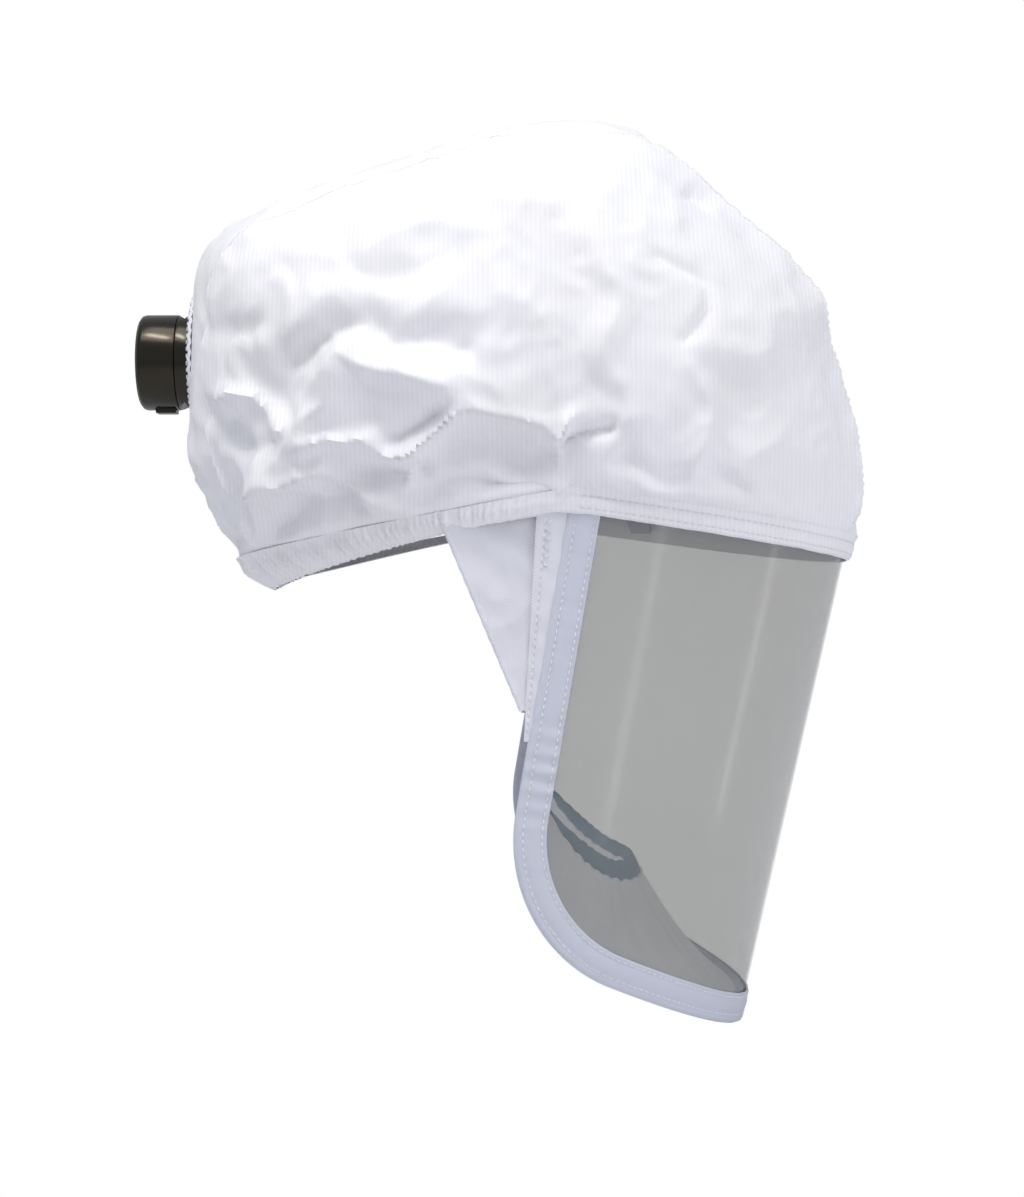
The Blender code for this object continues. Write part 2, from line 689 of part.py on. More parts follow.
def make_inlet():
    """Base ring outside the fabric, barrel through it, spigot behind and nose into the duct."""
    top = BASE_LENGTH + GAP + COLLAR_LENGTH - 1.6
    lip_top = BASE_LENGTH + 2 * GAP + COLLAR_LIP
    ring_top = lip_top + RING_THICKNESS + GAP
    seat = SPIGOT_RADIUS - 2 * O_RING_WIRE
    groove = BASE_LENGTH + 5.0
    nose = -(DUCT_BACK_ROOM + DUCT_WALL + 3.0)
    shoulder = -(FABRIC + 2 * GAP + NUT_LENGTH + 1.0)
    profile = [
        (SPIGOT_RADIUS, top), (SPIGOT_RADIUS, ring_top), (seat, ring_top), (seat, lip_top),
        (SPIGOT_RADIUS, lip_top), (SPIGOT_RADIUS, groove + 2.4), (seat, groove + 2.4),
        (seat, groove), (SPIGOT_RADIUS, groove), (SPIGOT_RADIUS, BASE_LENGTH), (COLLAR_RADIUS, BASE_LENGTH),
        (COLLAR_RADIUS, GAP + 1.0), (BARREL_RADIUS, GAP + 1.0), (BARREL_RADIUS, shoulder),
        (SPIGOT_RADIUS - 1, shoulder), (SPIGOT_RADIUS - 1, nose), (BORE_RADIUS, nose), (BORE_RADIUS, top),
    ]
    body = turned("inlet_body", profile, "black_plastic", INLET)
    for side, label in ((-1, "lower"), (1, "upper")):
        ramp = [(COLLAR_RADIUS + 2, BASE_LENGTH + 0.2), (COLLAR_RADIUS - NOTCH_DEPTH, BASE_LENGTH + 0.2),
                (COLLAR_RADIUS + 2, BASE_LENGTH - NOTCH_LENGTH)]
        cutter = outlined(f"{label}_notch", [[(side * r, h) for r, h in ramp]], 60.0,
                          "black_plastic", INLET, upright=True)
        cut(body, cutter)
    turned("inlet_gasket", [(COLLAR_RADIUS, 1.0), (COLLAR_RADIUS, 0.2), (BARREL_RADIUS + GAP, 0.2),
                            (BARREL_RADIUS + GAP, 1.0)], "black_rubber", INLET)
    turned("inlet_patch", [(PATCH_RADIUS, -0.1), (PATCH_RADIUS, -0.1 - FABRIC),
                           (BARREL_RADIUS + GAP, -0.1 - FABRIC), (BARREL_RADIUS + GAP, -0.1)],
           "smooth_fabric", INLET)
    nut_top = -(FABRIC + 2 * GAP)
    turned("inlet_nut", [(NUT_RADIUS, nut_top), (NUT_RADIUS - 2, nut_top - NUT_LENGTH),
                         (BARREL_RADIUS + GAP, nut_top - NUT_LENGTH), (BARREL_RADIUS + GAP, nut_top)],
           "dark_grey_plastic", INLET)
    ring_outer = SPIGOT_RADIUS + 1.8
    turned("retaining_ring", [(ring_outer, ring_top - GAP / 2), (ring_outer, lip_top + GAP),
                              (seat + 0.2, lip_top + GAP), (seat + 0.2, ring_top - GAP / 2)],
           "spring_steel", INLET)
    make_o_ring(seat + GAP / 2 + O_RING_WIRE, groove + 1.2)


def make_o_ring(centre, height):
    """The one closed turned piece that doesn't reach the axis with a flat side."""
    bm = bmesh.new()
    circle = bmesh.ops.create_circle(bm, segments=8, radius=O_RING_WIRE * MM)["verts"]
    for vert in circle:
        vert.co = (vert.co.x + centre * MM, 0.0, vert.co.y + height * MM)
    ring = add_mesh("o_ring", bm, "black_rubber", INLET)
    screw = ring.modifiers.new("turn", "SCREW")
    screw.steps = 48
    screw.render_steps = 48
    screw.use_merge_vertices = True
    screw.merge_threshold = WELD


def make_collar():
    low = BASE_LENGTH + GAP
    top = low + COLLAR_LENGTH
    lip_top = low + COLLAR_LIP
    inner = SPIGOT_RADIUS + GAP + 0.2
    bore = SPIGOT_RADIUS + 2.3
    collar = turned("swivel_collar", [
        (COLLAR_RADIUS - COLLAR_CHAMFER, top), (COLLAR_RADIUS, top - COLLAR_CHAMFER),
        (COLLAR_RADIUS, low), (inner, low), (inner, lip_top), (bore, lip_top), (bore, top),
    ], "black_plastic", COLLAR)
    floor = inner + POCKET_FLOOR
    start = low + 1.3
    middle = start + BUTTON_LENGTH / 2
    deep = COLLAR_RADIUS + 2.0 - floor
    pocket = box("button_pocket", (deep, BUTTON_WIDTH + 2 * GAP, BUTTON_LENGTH + 2 * GAP),
                 (-floor - deep / 2, 0, middle), "black_plastic", COLLAR)
    cut(collar, pocket)
    outer = COLLAR_RADIUS + BUTTON_PROUD
    button = box("release_button", (BUTTON_HEIGHT, BUTTON_WIDTH, BUTTON_LENGTH),
                 (-outer + BUTTON_HEIGHT / 2, 0, middle), "black_plastic", COLLAR)
    bevel = button.modifiers.new("edges", "BEVEL")
    bevel.width = 0.5 * MM
    bevel.segments = 2
    rise = outer - BUTTON_HEIGHT - floor - 2 * SPRING_WIRE - GAP
    span = BUTTON_LENGTH - 2.0
    stations = []
    for i in range(13):
        share = i / 12
        height = floor + GAP / 2 + rise * math.sin(math.pi * share)
        origin = Vector((-height, 0, start + 1 + span * share))
        stations.append((origin, Vector((-1, 0, 0)), Vector((0, 1, 0))))
    sweep("button_spring", stations, [(0, -2), (SPRING_WIRE, -2), (SPRING_WIRE, 2), (0, 2)],
          "spring_steel", COLLAR)


# ---------------------------------------------------------------- air duct


def duct_route():
    """Up behind the head, over it and down to the brow."""
    rear_x = INLET_X + DUCT_BACK_ROOM + DUCT_DEPTH / 2
    tilt = 10.0
    bend = trace((rear_x, DUCT_FOOT_Z), 90, [("line", DUCT_SHOULDER_Z - DUCT_FOOT_Z),
                                             ("arc", DUCT_REAR_BEND, tilt - 90)], 10)
    start = Vector(bend[-1][:2])
    end = Vector((BAND_FRONT + DUCT_NOSE_X, DUCT_NOSE_Z))
    chord = end - start
    fall = -math.degrees(math.atan2(chord.y, chord.x))
    turn = 2 * (fall + tilt)
    radius = chord.length / 2 / math.sin(math.radians(turn / 2))
    return bend + trace(start, tilt, [("arc", radius, -turn)], 5)[1:]


def make_duct():
    stations = route_stations(duct_route(), -1)
    half = DUCT_WIDTH / 2
    deep = DUCT_DEPTH / 2
    inside = half - DUCT_WALL
    floor = DUCT_WALL - deep
    top = deep - DUCT_WALL - GAP
    tray = [(-deep, -half), (-deep, half), (top, half), (top, inside), (floor, inside),
            (floor, -inside), (top, -inside), (top, -half)]
    tray = sweep("duct_tray", stations, tray, "dark_grey_plastic")
    lid = [(top + GAP, -half), (top + GAP, half), (deep, half), (deep, -half)]
    lid = sweep("duct_lid", stations, lid, "dark_grey_plastic")
    port = cylinder("duct_port", SPIGOT_RADIUS - 1 + GAP, -DUCT_BACK_ROOM - 5, -DUCT_BACK_ROOM + 5,
                    "dark_grey_plastic", INLET)
    cut(lid, port)
    rear_x = INLET_X + DUCT_BACK_ROOM + DUCT_DEPTH / 2
    box("duct_end_cap", (DUCT_DEPTH, DUCT_WIDTH, DUCT_WALL), (rear_x, 0, DUCT_FOOT_Z - GAP - DUCT_WALL / 2),
        "dark_grey_plastic")
    return tray


# ---------------------------------------------------------------- head suspension


def band_point(turn, rise, offset=0.0):
    """Front headband: straight side arms and a half oval in front; turn is 1 at the left arm's end."""
    bend = 0.7
    curve_x = BAND_FRONT - BAND_FRONT_CURVE
    if abs(turn) > bend:
        back = (abs(turn) - bend) / (1 - bend)
        x = curve_x + (arm_end_x() - curve_x) * back
        return x, math.copysign(BAND_HALF_BREADTH + offset, turn), rise
    angle = turn / bend * QUARTER
    x = curve_x + (BAND_FRONT_CURVE + offset) * math.cos(angle)
    return x, (BAND_HALF_BREADTH + offset) * math.sin(angle), rise


def cradle_curve_x():
    return BAND_REAR_CURVE - BAND_REAR


def arm_end_x():
    """The arms end just ahead of where the cradle's bend arrives at full travel."""
    return cradle_curve_x() + ADJUST_TRAVEL + 4.0


def cradle_point(turn, rise, offset=0.0):
    """Rear cradle: channels outside the arms and a half oval behind; turn is 1 at the right."""
    bend = 0.7
    if abs(turn) > bend:
        ahead = (abs(turn) - bend) / (1 - bend)
        front = arm_end_x() + CHANNEL_OVERLAP
        x = cradle_curve_x() + (front - cradle_curve_x()) * ahead
        return x, -math.copysign(BAND_HALF_BREADTH + offset, turn), rise
    angle = turn / bend * QUARTER
    x = cradle_curve_x() - (BAND_REAR_CURVE + offset) * math.cos(angle)
    return x, -(BAND_HALF_BREADTH + offset) * math.sin(angle), rise


def strap_top():
    return HEAD_RISE + 4.0


def make_headband(tray):
    high = BAND_HALF_HEIGHT
    band = skin("headband_front", lambda u, v: band_point(2 * u - 1, high * (2 * v - 1)), 40, 1,
                BAND_THICKNESS, "grey_plastic")
    skin("brow_pad", lambda u, v: band_point(1.2 * u - 0.6, 1.1 * high * (2 * v - 1), -GAP), 24, 1,
         PAD_THICKNESS, "black_foam", outward=False)
    half = STRAP_WIDTH / 2
    section = [(0, -half), (STRAP_THICKNESS, -half), (STRAP_THICKNESS, half), (0, half)]
    front_x = BAND_FRONT + BAND_THICKNESS + GAP
    duct_x = INLET_X + DUCT_BACK_ROOM + DUCT_DEPTH + GAP + STRAP_THICKNESS
    front_bend = strap_top() - STRAP_LOW_RUN + STRAP_END
    swing = 1 - math.cos(math.radians(STRAP_TURN))
    flatten = 90.0 - STRAP_TURN
    chord = front_x - duct_x - swing * (front_bend + STRAP_REAR_BEND)
    radius = chord / 2 / math.sin(math.radians(flatten))
    fore_aft = trace((front_x, STRAP_END), 90, [
        ("line", STRAP_LOW_RUN), ("arc", front_bend, STRAP_TURN), ("arc", radius, 2 * flatten),
        ("arc", STRAP_REAR_BEND, STRAP_TURN), ("line", 10.0)], 9)
    strap = sweep("strap_fore_aft", route_stations(fore_aft, 1), section, "white_elastic")
    cross_x = BAND_FRONT - BAND_FRONT_CURVE - half - 2.0
    side_y = BAND_HALF_BREADTH + BAND_THICKNESS + GAP
    top = max(z for _, z, _ in fore_aft) + STRAP_THICKNESS + 2 * GAP
    rise = math.tan(math.radians(flatten / 2))
    side_bend = ((top - STRAP_END - STRAP_LOW_RUN - side_y * rise)
                 / (math.sin(math.radians(STRAP_TURN)) - rise * swing))
    crown_radius = (side_y - side_bend * swing) / math.sin(math.radians(flatten))
    cross = trace((side_y, STRAP_END), 90, [
        ("line", STRAP_LOW_RUN), ("arc", side_bend, STRAP_TURN), ("arc", crown_radius, 2 * flatten),
        ("arc", side_bend, STRAP_TURN), ("line", STRAP_LOW_RUN)], 9)
    stations = [(origin + Vector((cross_x, 0, 0)), out, across)
                for origin, out, across in route_stations(cross, 1, (1, 0, 0))]
    over = sweep("strap_cross", stations, section, "white_elastic")
    rear_z = fore_aft[-1][1] + STUD_RADIUS
    beside = side_y + STRAP_THICKNESS
    make_stud("front", (front_x + STRAP_THICKNESS, 0, 0), (1, 0, 0), (band, strap))
    make_stud("rear", (duct_x - STRAP_THICKNESS, 0, rear_z), (-1, 0, 0), (tray, strap))
    make_stud("left", (cross_x, beside, 0), (0, 1, 0), (band, over))
    make_stud("right", (cross_x, -beside, 0), (0, -1, 0), (band, over))


def make_stud(label, place, out, joined):
    """A rivet whose head lies on the strap and whose shank passes through what it holds."""
    inwards = label == "rear"
    head_side = STRAP_THICKNESS if inwards else 0.0
    shank = STRAP_THICKNESS + 2 * GAP + (DUCT_WALL if inwards else BAND_THICKNESS)
    frame = bpy.data.objects.new(f"stud_frame_{label}", None)
    direction = Vector(out) * (-1 if inwards else 1)
    frame.location = (Vector(place) + direction * head_side) * MM
    frame.rotation_euler = direction.to_track_quat("Z", "Y").to_euler()
    PARTS.objects.link(frame)
    turned(f"strap_stud_{label}", [(1.0, GAP + 2.0), (STUD_RADIUS, GAP + 1.4), (STUD_RADIUS, GAP),
                                   (STUD_SHANK, GAP), (STUD_SHANK, -shank), (1.0, -shank)],
           "dark_grey_plastic", frame, 24)
    for index, piece in enumerate(joined):
        hole = cylinder(f"stud_hole_{label}_{index}", STUD_SHANK + GAP, -shank - 2, GAP + 1,
                        "dark_grey_plastic", frame, 16)
        cut(piece, hole)


def make_cradle():
    offset = BAND_THICKNESS + GAP
    high = BAND_HALF_HEIGHT
    skin("rear_cradle", lambda u, v: cradle_point(2 * u - 1, high * (2 * v - 1), offset), 36, 1,
         BAND_THICKNESS, "grey_plastic", parent=CRADLE)
    skin("nape_pad", lambda u, v: cradle_point(u - 0.5, 1.1 * high * (2 * v - 1), offset - GAP), 24, 1,
         PAD_THICKNESS, "black_foam", outward=False, parent=CRADLE)
    cover = box("ratchet_cover", (COVER_HEIGHT, COVER_WIDTH, COVER_DEPTH), (0, 0, COVER_DEPTH / 2),
                "dark_grey_plastic", RATCHET)
    hollow = box("cover_hollow", (COVER_HEIGHT - 2 * COVER_WALL, COVER_WIDTH + 10, COVER_DEPTH),
                 (0, 0, COVER_DEPTH / 2 - COVER_WALL), "dark_grey_plastic", RATCHET)
    cut(cover, hollow)
    hole = cylinder("shaft_hole", SHAFT_RADIUS + GAP, 0, COVER_DEPTH + 5, "dark_grey_plastic", RATCHET)
    cut(cover, hole)


def rack_outline(side):
    """Bar with teeth that point at the pinion; coordinates are (up, left), tooth gap at the middle."""
    pitch = math.pi * TOOTH_MODULE
    width = TOOTH_SHARE * pitch
    tip = PITCH_RADIUS - 0.7 * TOOTH_MODULE
    root = PITCH_RADIUS + TOOTH_MODULE
    start = -RACK_OVERLAP
    end = RACK_LENGTH - RACK_OVERLAP
    loop = [(root, start)]
    tooth = math.ceil((start + width) / pitch - 0.5) + 0.5
    while (tooth + 0.5) * pitch < end:
        middle = tooth * pitch
        loop += [(root, middle - 0.7 * width), (tip, middle - 0.3 * width),
                 (tip, middle + 0.3 * width), (root, middle + 0.7 * width)]
        tooth += 1
    loop += [(root, end), (root + RACK_HEIGHT, end), (root + RACK_HEIGHT, start)]
    return [(side * up, side * left) for up, left in loop]


def make_racks():
    """The left strip's rack runs above the pinion and the right strip's below it."""
    for side, label in ((1, "left"), (-1, "right")):
        rack = outlined(f"rack_{label}", [rack_outline(side)], RACK_THICKNESS, "grey_plastic", RATCHET)
        rack.location.z = (GAP + 1.0 + RACK_THICKNESS / 2) * MM


def make_knob():
    low = GAP + 1.0
    loop = []
    for i in range(PINION_TEETH):
        middle = 2 * math.pi * i / PINION_TEETH
        width = TOOTH_SHARE * math.pi * TOOTH_MODULE
        for radius, across in ((PITCH_RADIUS - 1.1 * TOOTH_MODULE, -0.7 * width),
                               (PITCH_RADIUS + 0.7 * TOOTH_MODULE, -0.25 * width),
                               (PITCH_RADIUS + 0.7 * TOOTH_MODULE, 0.25 * width),
                               (PITCH_RADIUS - 1.1 * TOOTH_MODULE, 0.7 * width)):
            angle = middle + across / radius
            loop.append((radius * math.cos(angle), radius * math.sin(angle)))
    pinion = outlined("pinion", [loop], RACK_THICKNESS, "black_plastic", KNOB)
    for vert in pinion.data.vertices:
        vert.co.z += (low + RACK_THICKNESS / 2) * MM
    knob_low = COVER_DEPTH + GAP
    shaft = cylinder("pinion_shaft", SHAFT_RADIUS, low + 0.5, knob_low + 4.0, "black_plastic", KNOB, 24)
    cut(pinion, shaft, "UNION")
    bore = cylinder("pinion_bore", SCREW_RADIUS + GAP, low + 1.5, knob_low + 6.0, "black_plastic", KNOB, 16)
    cut(pinion, bore)
    lobes = []
    for i in range(6 * KNOB_LOBES):
        angle = 2 * math.pi * i / (6 * KNOB_LOBES)
        radius = KNOB_RADIUS + 0.7 * math.cos(KNOB_LOBES * angle) - 0.7
        lobes.append((radius * math.cos(angle), radius * math.sin(angle)))
    knob = outlined("ratchet_knob", [lobes], KNOB_THICKNESS, "black_plastic", KNOB)
    for vert in knob.data.vertices:
        vert.co.z += (knob_low + KNOB_THICKNESS / 2) * MM
    socket = cylinder("knob_socket", SHAFT_RADIUS + GAP, knob_low - 1, knob_low + 4.0 + GAP,
                      "black_plastic", KNOB, 24)
    cut(knob, socket)
    hole = cylinder("knob_hole", SCREW_RADIUS + GAP, knob_low, knob_low + KNOB_THICKNESS + 1,
                    "black_plastic", KNOB, 16)
    cut(knob, hole)
    top = knob_low + KNOB_THICKNESS
    recess = cylinder("screw_recess", 3.5 + GAP, top - 2.0, top + 1, "black_plastic", KNOB, 24)
    cut(knob, recess)
    under_head = top - 2.0 + GAP
    turned("knob_screw", [(1.0, top - 0.4), (3.5, top - 0.4), (3.5, under_head),
                          (SCREW_RADIUS, under_head), (SCREW_RADIUS, low + 3.0), (1.0, low + 3.0)],
           "spring_steel", KNOB, 24)


def main():
    make_lens()
    make_binding()
    make_visor_frame()
    make_face_seal()
    make_crown()
    make_hems()
    make_cheeks()
    make_inlet()
    make_collar()
    tray = make_duct()
    make_headband(tray)
    make_cradle()
    make_racks()
    make_knob()


clear_scene()
PARTS = make_collection("respirator_head_cover")
CUTTERS = make_collection("cutters")
INLET = add_frame("inlet_axis", INLET_X, INLET_HEIGHT, rearward=True)
COLLAR = add_frame("collar_axis", INLET_X, INLET_HEIGHT, rearward=True)
CRADLE = add_frame("cradle_slide", 0.0, 0.0)
RATCHET = add_frame("ratchet_axis", COVER_BACK_X, 0.0, rearward=True)
KNOB = add_frame("knob_axis", COVER_BACK_X, 0.0, rearward=True)
main()
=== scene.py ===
"""Visual model of a powered air respirator hood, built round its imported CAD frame.

Lengths are in metres: +X is the wearer's forward, +Y the wearer's left and +Z up, with the origin
at the centre of the headband.
"""

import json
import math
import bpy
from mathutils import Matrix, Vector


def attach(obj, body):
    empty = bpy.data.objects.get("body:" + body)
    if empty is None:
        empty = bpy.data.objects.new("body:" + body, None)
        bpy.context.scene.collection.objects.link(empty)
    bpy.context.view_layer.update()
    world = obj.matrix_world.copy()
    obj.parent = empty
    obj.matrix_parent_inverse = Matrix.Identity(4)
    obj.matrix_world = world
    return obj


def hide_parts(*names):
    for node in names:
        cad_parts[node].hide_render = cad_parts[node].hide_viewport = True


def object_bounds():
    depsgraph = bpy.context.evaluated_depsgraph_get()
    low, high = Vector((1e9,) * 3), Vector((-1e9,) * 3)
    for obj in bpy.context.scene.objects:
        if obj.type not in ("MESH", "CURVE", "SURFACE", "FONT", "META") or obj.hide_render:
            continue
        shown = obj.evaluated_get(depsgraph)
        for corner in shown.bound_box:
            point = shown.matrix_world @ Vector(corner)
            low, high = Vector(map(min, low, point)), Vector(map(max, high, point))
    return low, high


bl_info = {
    "name": "Respirator Hood",
    "version": (1, 0, 0),
    "blender": (4, 5, 0),
    "location": "View3D > Sidebar > Respirator Hood",
    "description": "Builds the fabric hood, face lens, seals, air inlet and head suspension",
    "category": "Object",
}

import bpy
import numpy as np
from mathutils import Vector, noise

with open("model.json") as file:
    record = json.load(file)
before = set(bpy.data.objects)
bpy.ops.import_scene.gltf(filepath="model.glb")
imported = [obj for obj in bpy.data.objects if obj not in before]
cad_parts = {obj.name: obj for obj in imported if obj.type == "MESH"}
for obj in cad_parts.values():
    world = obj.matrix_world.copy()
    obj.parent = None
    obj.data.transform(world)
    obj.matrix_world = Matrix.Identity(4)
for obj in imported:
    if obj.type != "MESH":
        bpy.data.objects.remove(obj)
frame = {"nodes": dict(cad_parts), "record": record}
CAD_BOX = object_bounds()
NODES = frame["nodes"]

MM = 0.001
GAP = 0.3 * MM  # between pieces that touch
WELD = 0.01 * MM
QUARTER = math.pi / 2

# Lens
LENS_HALF_WIDTH = 112 * MM
LENS_DEPTH = 132 * MM
LENS_CENTRE_X = 23 * MM
LENS_LEAN = math.radians(12.8)
LENS_DROP = 193 * MM
LENS_THICKNESS = 1 * MM
ROUNDNESS = 2.2
BROW_FRONT_Z = -36.5 * MM
BROW_SIDE_Z = -17.8 * MM
REAR_EDGE_LEAN = math.radians(9.7)
REAR_EDGE_SETBACK = 14 * MM
BOTTOM_RISE = math.radians(24.7)
CORNER_RADIUS = 54 * MM
BINDING_COVER = 12 * MM
BINDING_WIDTH = 13.5 * MM

# Crown
HEM_HEIGHT = 10 * MM
HEM_OUTER = 3.9 * MM
CROWN_TOP = 158.5 * MM
CROWN_REAR = 140 * MM
CROWN_PUFF = 16 * MM
SEAM_TURN = 0.28
CROSS_SEAM = 0.41
CLOTH = 0.7 * MM
CROWN_PROFILE = [
    (0.985, -0.165), (1.0, 0.0), (0.966, 0.19), (0.908, 0.38), (0.86, 0.57), (0.566, 0.86),
    (0.357, 1.0), (0.05, 1.0), (-0.27, 0.925), (-0.75, 0.795), (-0.957, 0.645), (-1.0, 0.455),
    (-1.0, 0.095), (-0.907, -0.10), (-0.85, -0.22),
]

# Inlet, its heights measured rearwards from the fabric
INLET_X = -CROWN_REAR
INLET_Z = 55 * MM
COLLAR_RADIUS = 21.8 * MM
BASE_LENGTH = 7.2 * MM
COLLAR_LENGTH = 17.6 * MM
SPIGOT_RADIUS = 17 * MM
BORE_RADIUS = 14.2 * MM
PATCH_RADIUS = 32 * MM
HOLE_RADIUS = 22.5 * MM  # of the rear panel's hole for the inlet
REAR_FACE_X = -80 * MM  # the crown behind this faces rearwards
# How far down the lens these reach from the brow hem, as shares of its drop
STRIP_REACH = 0.39
CHEEK_REACH = 0.325
SEAL_START = 0.42
JAW_REACH = 0.735
CHEEK_Y = 111 * MM


# ---------------------------------------------------------------- sizes and colours


class HoodSettings(bpy.types.PropertyGroup):
    """Sizes and colours of the soft pieces."""

    fold_depth: bpy.props.FloatProperty(
        name="Fold depth", description="How deep the crown's folds are, as a share of the usual depth",
        default=1.25, min=0.0, max=2.0, subtype="FACTOR")
    crumple: bpy.props.FloatProperty(
        name="Crumple", description="Height of the small creases in the crown cloth",
        default=2.0 * MM, min=0.0, max=5 * MM, unit="LENGTH")
    rib_spacing: bpy.props.FloatProperty(
        name="Rib spacing", description="Distance between the ribs of the crown cloth",
        default=2.0 * MM, min=0.5 * MM, max=6 * MM, unit="LENGTH")
    stitch_length: bpy.props.FloatProperty(
        name="Stitch length", description="Length of one stitch in the hems and the binding",
        default=2.4 * MM, min=1 * MM, max=6 * MM, unit="LENGTH")
    cloth_colour: bpy.props.FloatVectorProperty(
        name="Cloth colour", description="Colour of the crown cloth", subtype="COLOR",
        size=4, default=(0.925, 0.915, 0.935, 1.0), min=0.0, max=1.0)
    binding_colour: bpy.props.FloatVectorProperty(
        name="Binding colour", description="Colour of the tape round the lens", subtype="COLOR",
        size=4, default=(0.88, 0.885, 0.94, 1.0), min=0.0, max=1.0)
    elastic_colour: bpy.props.FloatVectorProperty(
        name="Jaw elastic colour", description="Colour of the knitted band under the jaw",
        subtype="COLOR", size=4, default=(0.015, 0.13, 0.22, 1.0), min=0.0, max=1.0)


class StudioSettings(bpy.types.PropertyGroup):
    """Place and strength of the camera and the lights."""

    camera_distance: bpy.props.FloatProperty(
        name="Camera distance", description="From the hood's middle plane to the camera",
        default=1.0, min=0.3, max=5.0, unit="LENGTH")
    camera_height: bpy.props.FloatProperty(
        name="Camera height", description="Height of the camera over the headband's centre",
        default=-53.3 * MM, min=-1.0, max=1.0, unit="LENGTH")
    key_power: bpy.props.FloatProperty(
        name="Key light", description="Power of the large soft light over the brow",
        default=6.7, min=0.0, max=100.0, unit="POWER")
    sky_strength: bpy.props.FloatProperty(
        name="Sky strength", description="Strength of the even light from all round",
        default=0.52, min=0.0, max=3.0)


# ---------------------------------------------------------------- meshes


def mesh_object(name, points, faces):
    """A new object in the scene from points in metres and faces of point numbers."""
    mesh = bpy.data.meshes.new(name)
    mesh.from_pydata([tuple(map(float, point)) for point in points], [], [tuple(f) for f in faces])
    mesh.update()
    piece = bpy.data.objects.new(name, mesh)
    bpy.context.scene.collection.objects.link(piece)
    return piece


def make_active(piece):
    bpy.ops.object.select_all(action="DESELECT")
    piece.select_set(True)
    bpy.context.view_layer.objects.active = piece


def face_outwards(piece):
    make_active(piece)
    bpy.ops.object.mode_set(mode="EDIT")
    bpy.ops.mesh.select_all(action="SELECT")
    bpy.ops.mesh.remove_doubles(threshold=WELD)
    bpy.ops.mesh.normals_make_consistent(inside=False)
    bpy.ops.object.mode_set(mode="OBJECT")


def settings():
    return bpy.context.scene.hood_settings


def apply_modifier(piece, kind, **values):
    make_active(piece)
    modifier = piece.modifiers.new(kind.title(), kind)
    for name, value in values.items():
        setattr(modifier, name, value)
    bpy.ops.object.modifier_apply(modifier=modifier.name)


def grid_faces(rows, columns, round_rows=False, round_columns=False):
    """Quads of a grid; a round row's or column's last point is joined to its first."""
    faces = []
    for i in range(rows if round_columns else rows - 1):
        this = i * columns
        following = (i + 1) % rows * columns
        for j in range(columns if round_rows else columns - 1):
            k = (j + 1) % columns
            faces.append((this + j, this + k, following + k, following + j))
    return faces


def cloth_piece(name, grid, thickness, towards):
    """A sheet through a grid of points, thickened to both sides, its front turned towards a direction."""
    rows, columns = grid.shape[:2]
    piece = mesh_object(name, grid.reshape(-1, 3), grid_faces(rows, columns))
    middle = len(piece.data.polygons) // 2 + columns // 2
    if piece.data.polygons[middle].normal.dot(Vector(towards)) < 0:
        piece.data.flip_normals()
    apply_modifier(piece, "SOLIDIFY", thickness=thickness, offset=0.0)
    smooth(piece, 60)
    return piece


def tube_piece(name, rings, angle=50):
    """A closed body through rings of points, each end shut by a face."""
    rows, columns = rings.shape[:2]
    faces = grid_faces(rows, columns, round_rows=True)
    faces.append(tuple(range(columns)))
    faces.append(tuple((rows - 1) * columns + j for j in reversed(range(columns))))
    piece = mesh_object(name, rings.reshape(-1, 3), faces)
    face_outwards(piece)
    smooth(piece, angle)
    return piece


def smooth(piece, angle):
    make_active(piece)
    bpy.ops.object.shade_smooth_by_angle(angle=math.radians(angle), keep_sharp_edges=False)


def roll(name, line, normals, radius, flat=0.7):
    """A soft round bead along a line."""
    ahead = np.gradient(line, axis=0)
    ahead /= np.maximum(np.linalg.norm(ahead, axis=1, keepdims=True), 1e-9)
    side = np.cross(normals, ahead)
    side /= np.maximum(np.linalg.norm(side, axis=1, keepdims=True), 1e-9)
    wobble = 1 + 0.07 * np.sin(np.arange(len(line)) * 1.1)
    rings = []
    for k in range(10):
        angle = 2 * math.pi * k / 10
        out = side * math.cos(angle) + normals * math.sin(angle) * flat
        rings.append(line + out * (radius * wobble)[:, None])
    return tube_piece(name, np.stack(rings, axis=1), 80)


def band_rings(route, inward, normal, section, ruffle):
    """Rings of a folded tape: section points (inward, normal) at each place of a route."""
    rings = []
    for across, out in section:
        swell = ruffle * (0.4 + abs(across) / BINDING_COVER)
        rings.append(route + inward * across + normal * (out + np.sign(out) * swell)[:, None])
    return np.stack(rings, axis=1)


def turned_piece(name, profile):
    """A profile of (radius, height) spun round the inlet's axis, its edges rounded."""
    bpy.ops.object.select_all(action="DESELECT")
    points = [(INLET_X - height, 0.0, INLET_Z + radius) for radius, height in profile]
    edges = [(i, (i + 1) % len(points)) for i in range(len(points))]
    mesh = bpy.data.meshes.new(name)
    mesh.from_pydata(points, edges, [])
    piece = bpy.data.objects.new(name, mesh)
    bpy.context.scene.collection.objects.link(piece)
    make_active(piece)
    bpy.ops.object.mode_set(mode="EDIT")
    bpy.ops.mesh.select_all(action="SELECT")
    bpy.ops.mesh.spin(steps=128, angle=2 * math.pi, center=(INLET_X, 0, INLET_Z), axis=(1, 0, 0))
    bpy.ops.object.mode_set(mode="OBJECT")
    face_outwards(piece)
    round_edges(piece, 0.3 * MM, 35)
    smooth(piece, 40)
    return piece


def round_edges(piece, width, angle):
    apply_modifier(piece, "BEVEL", width=width, segments=3, limit_method="ANGLE",
                   angle_limit=math.radians(angle))


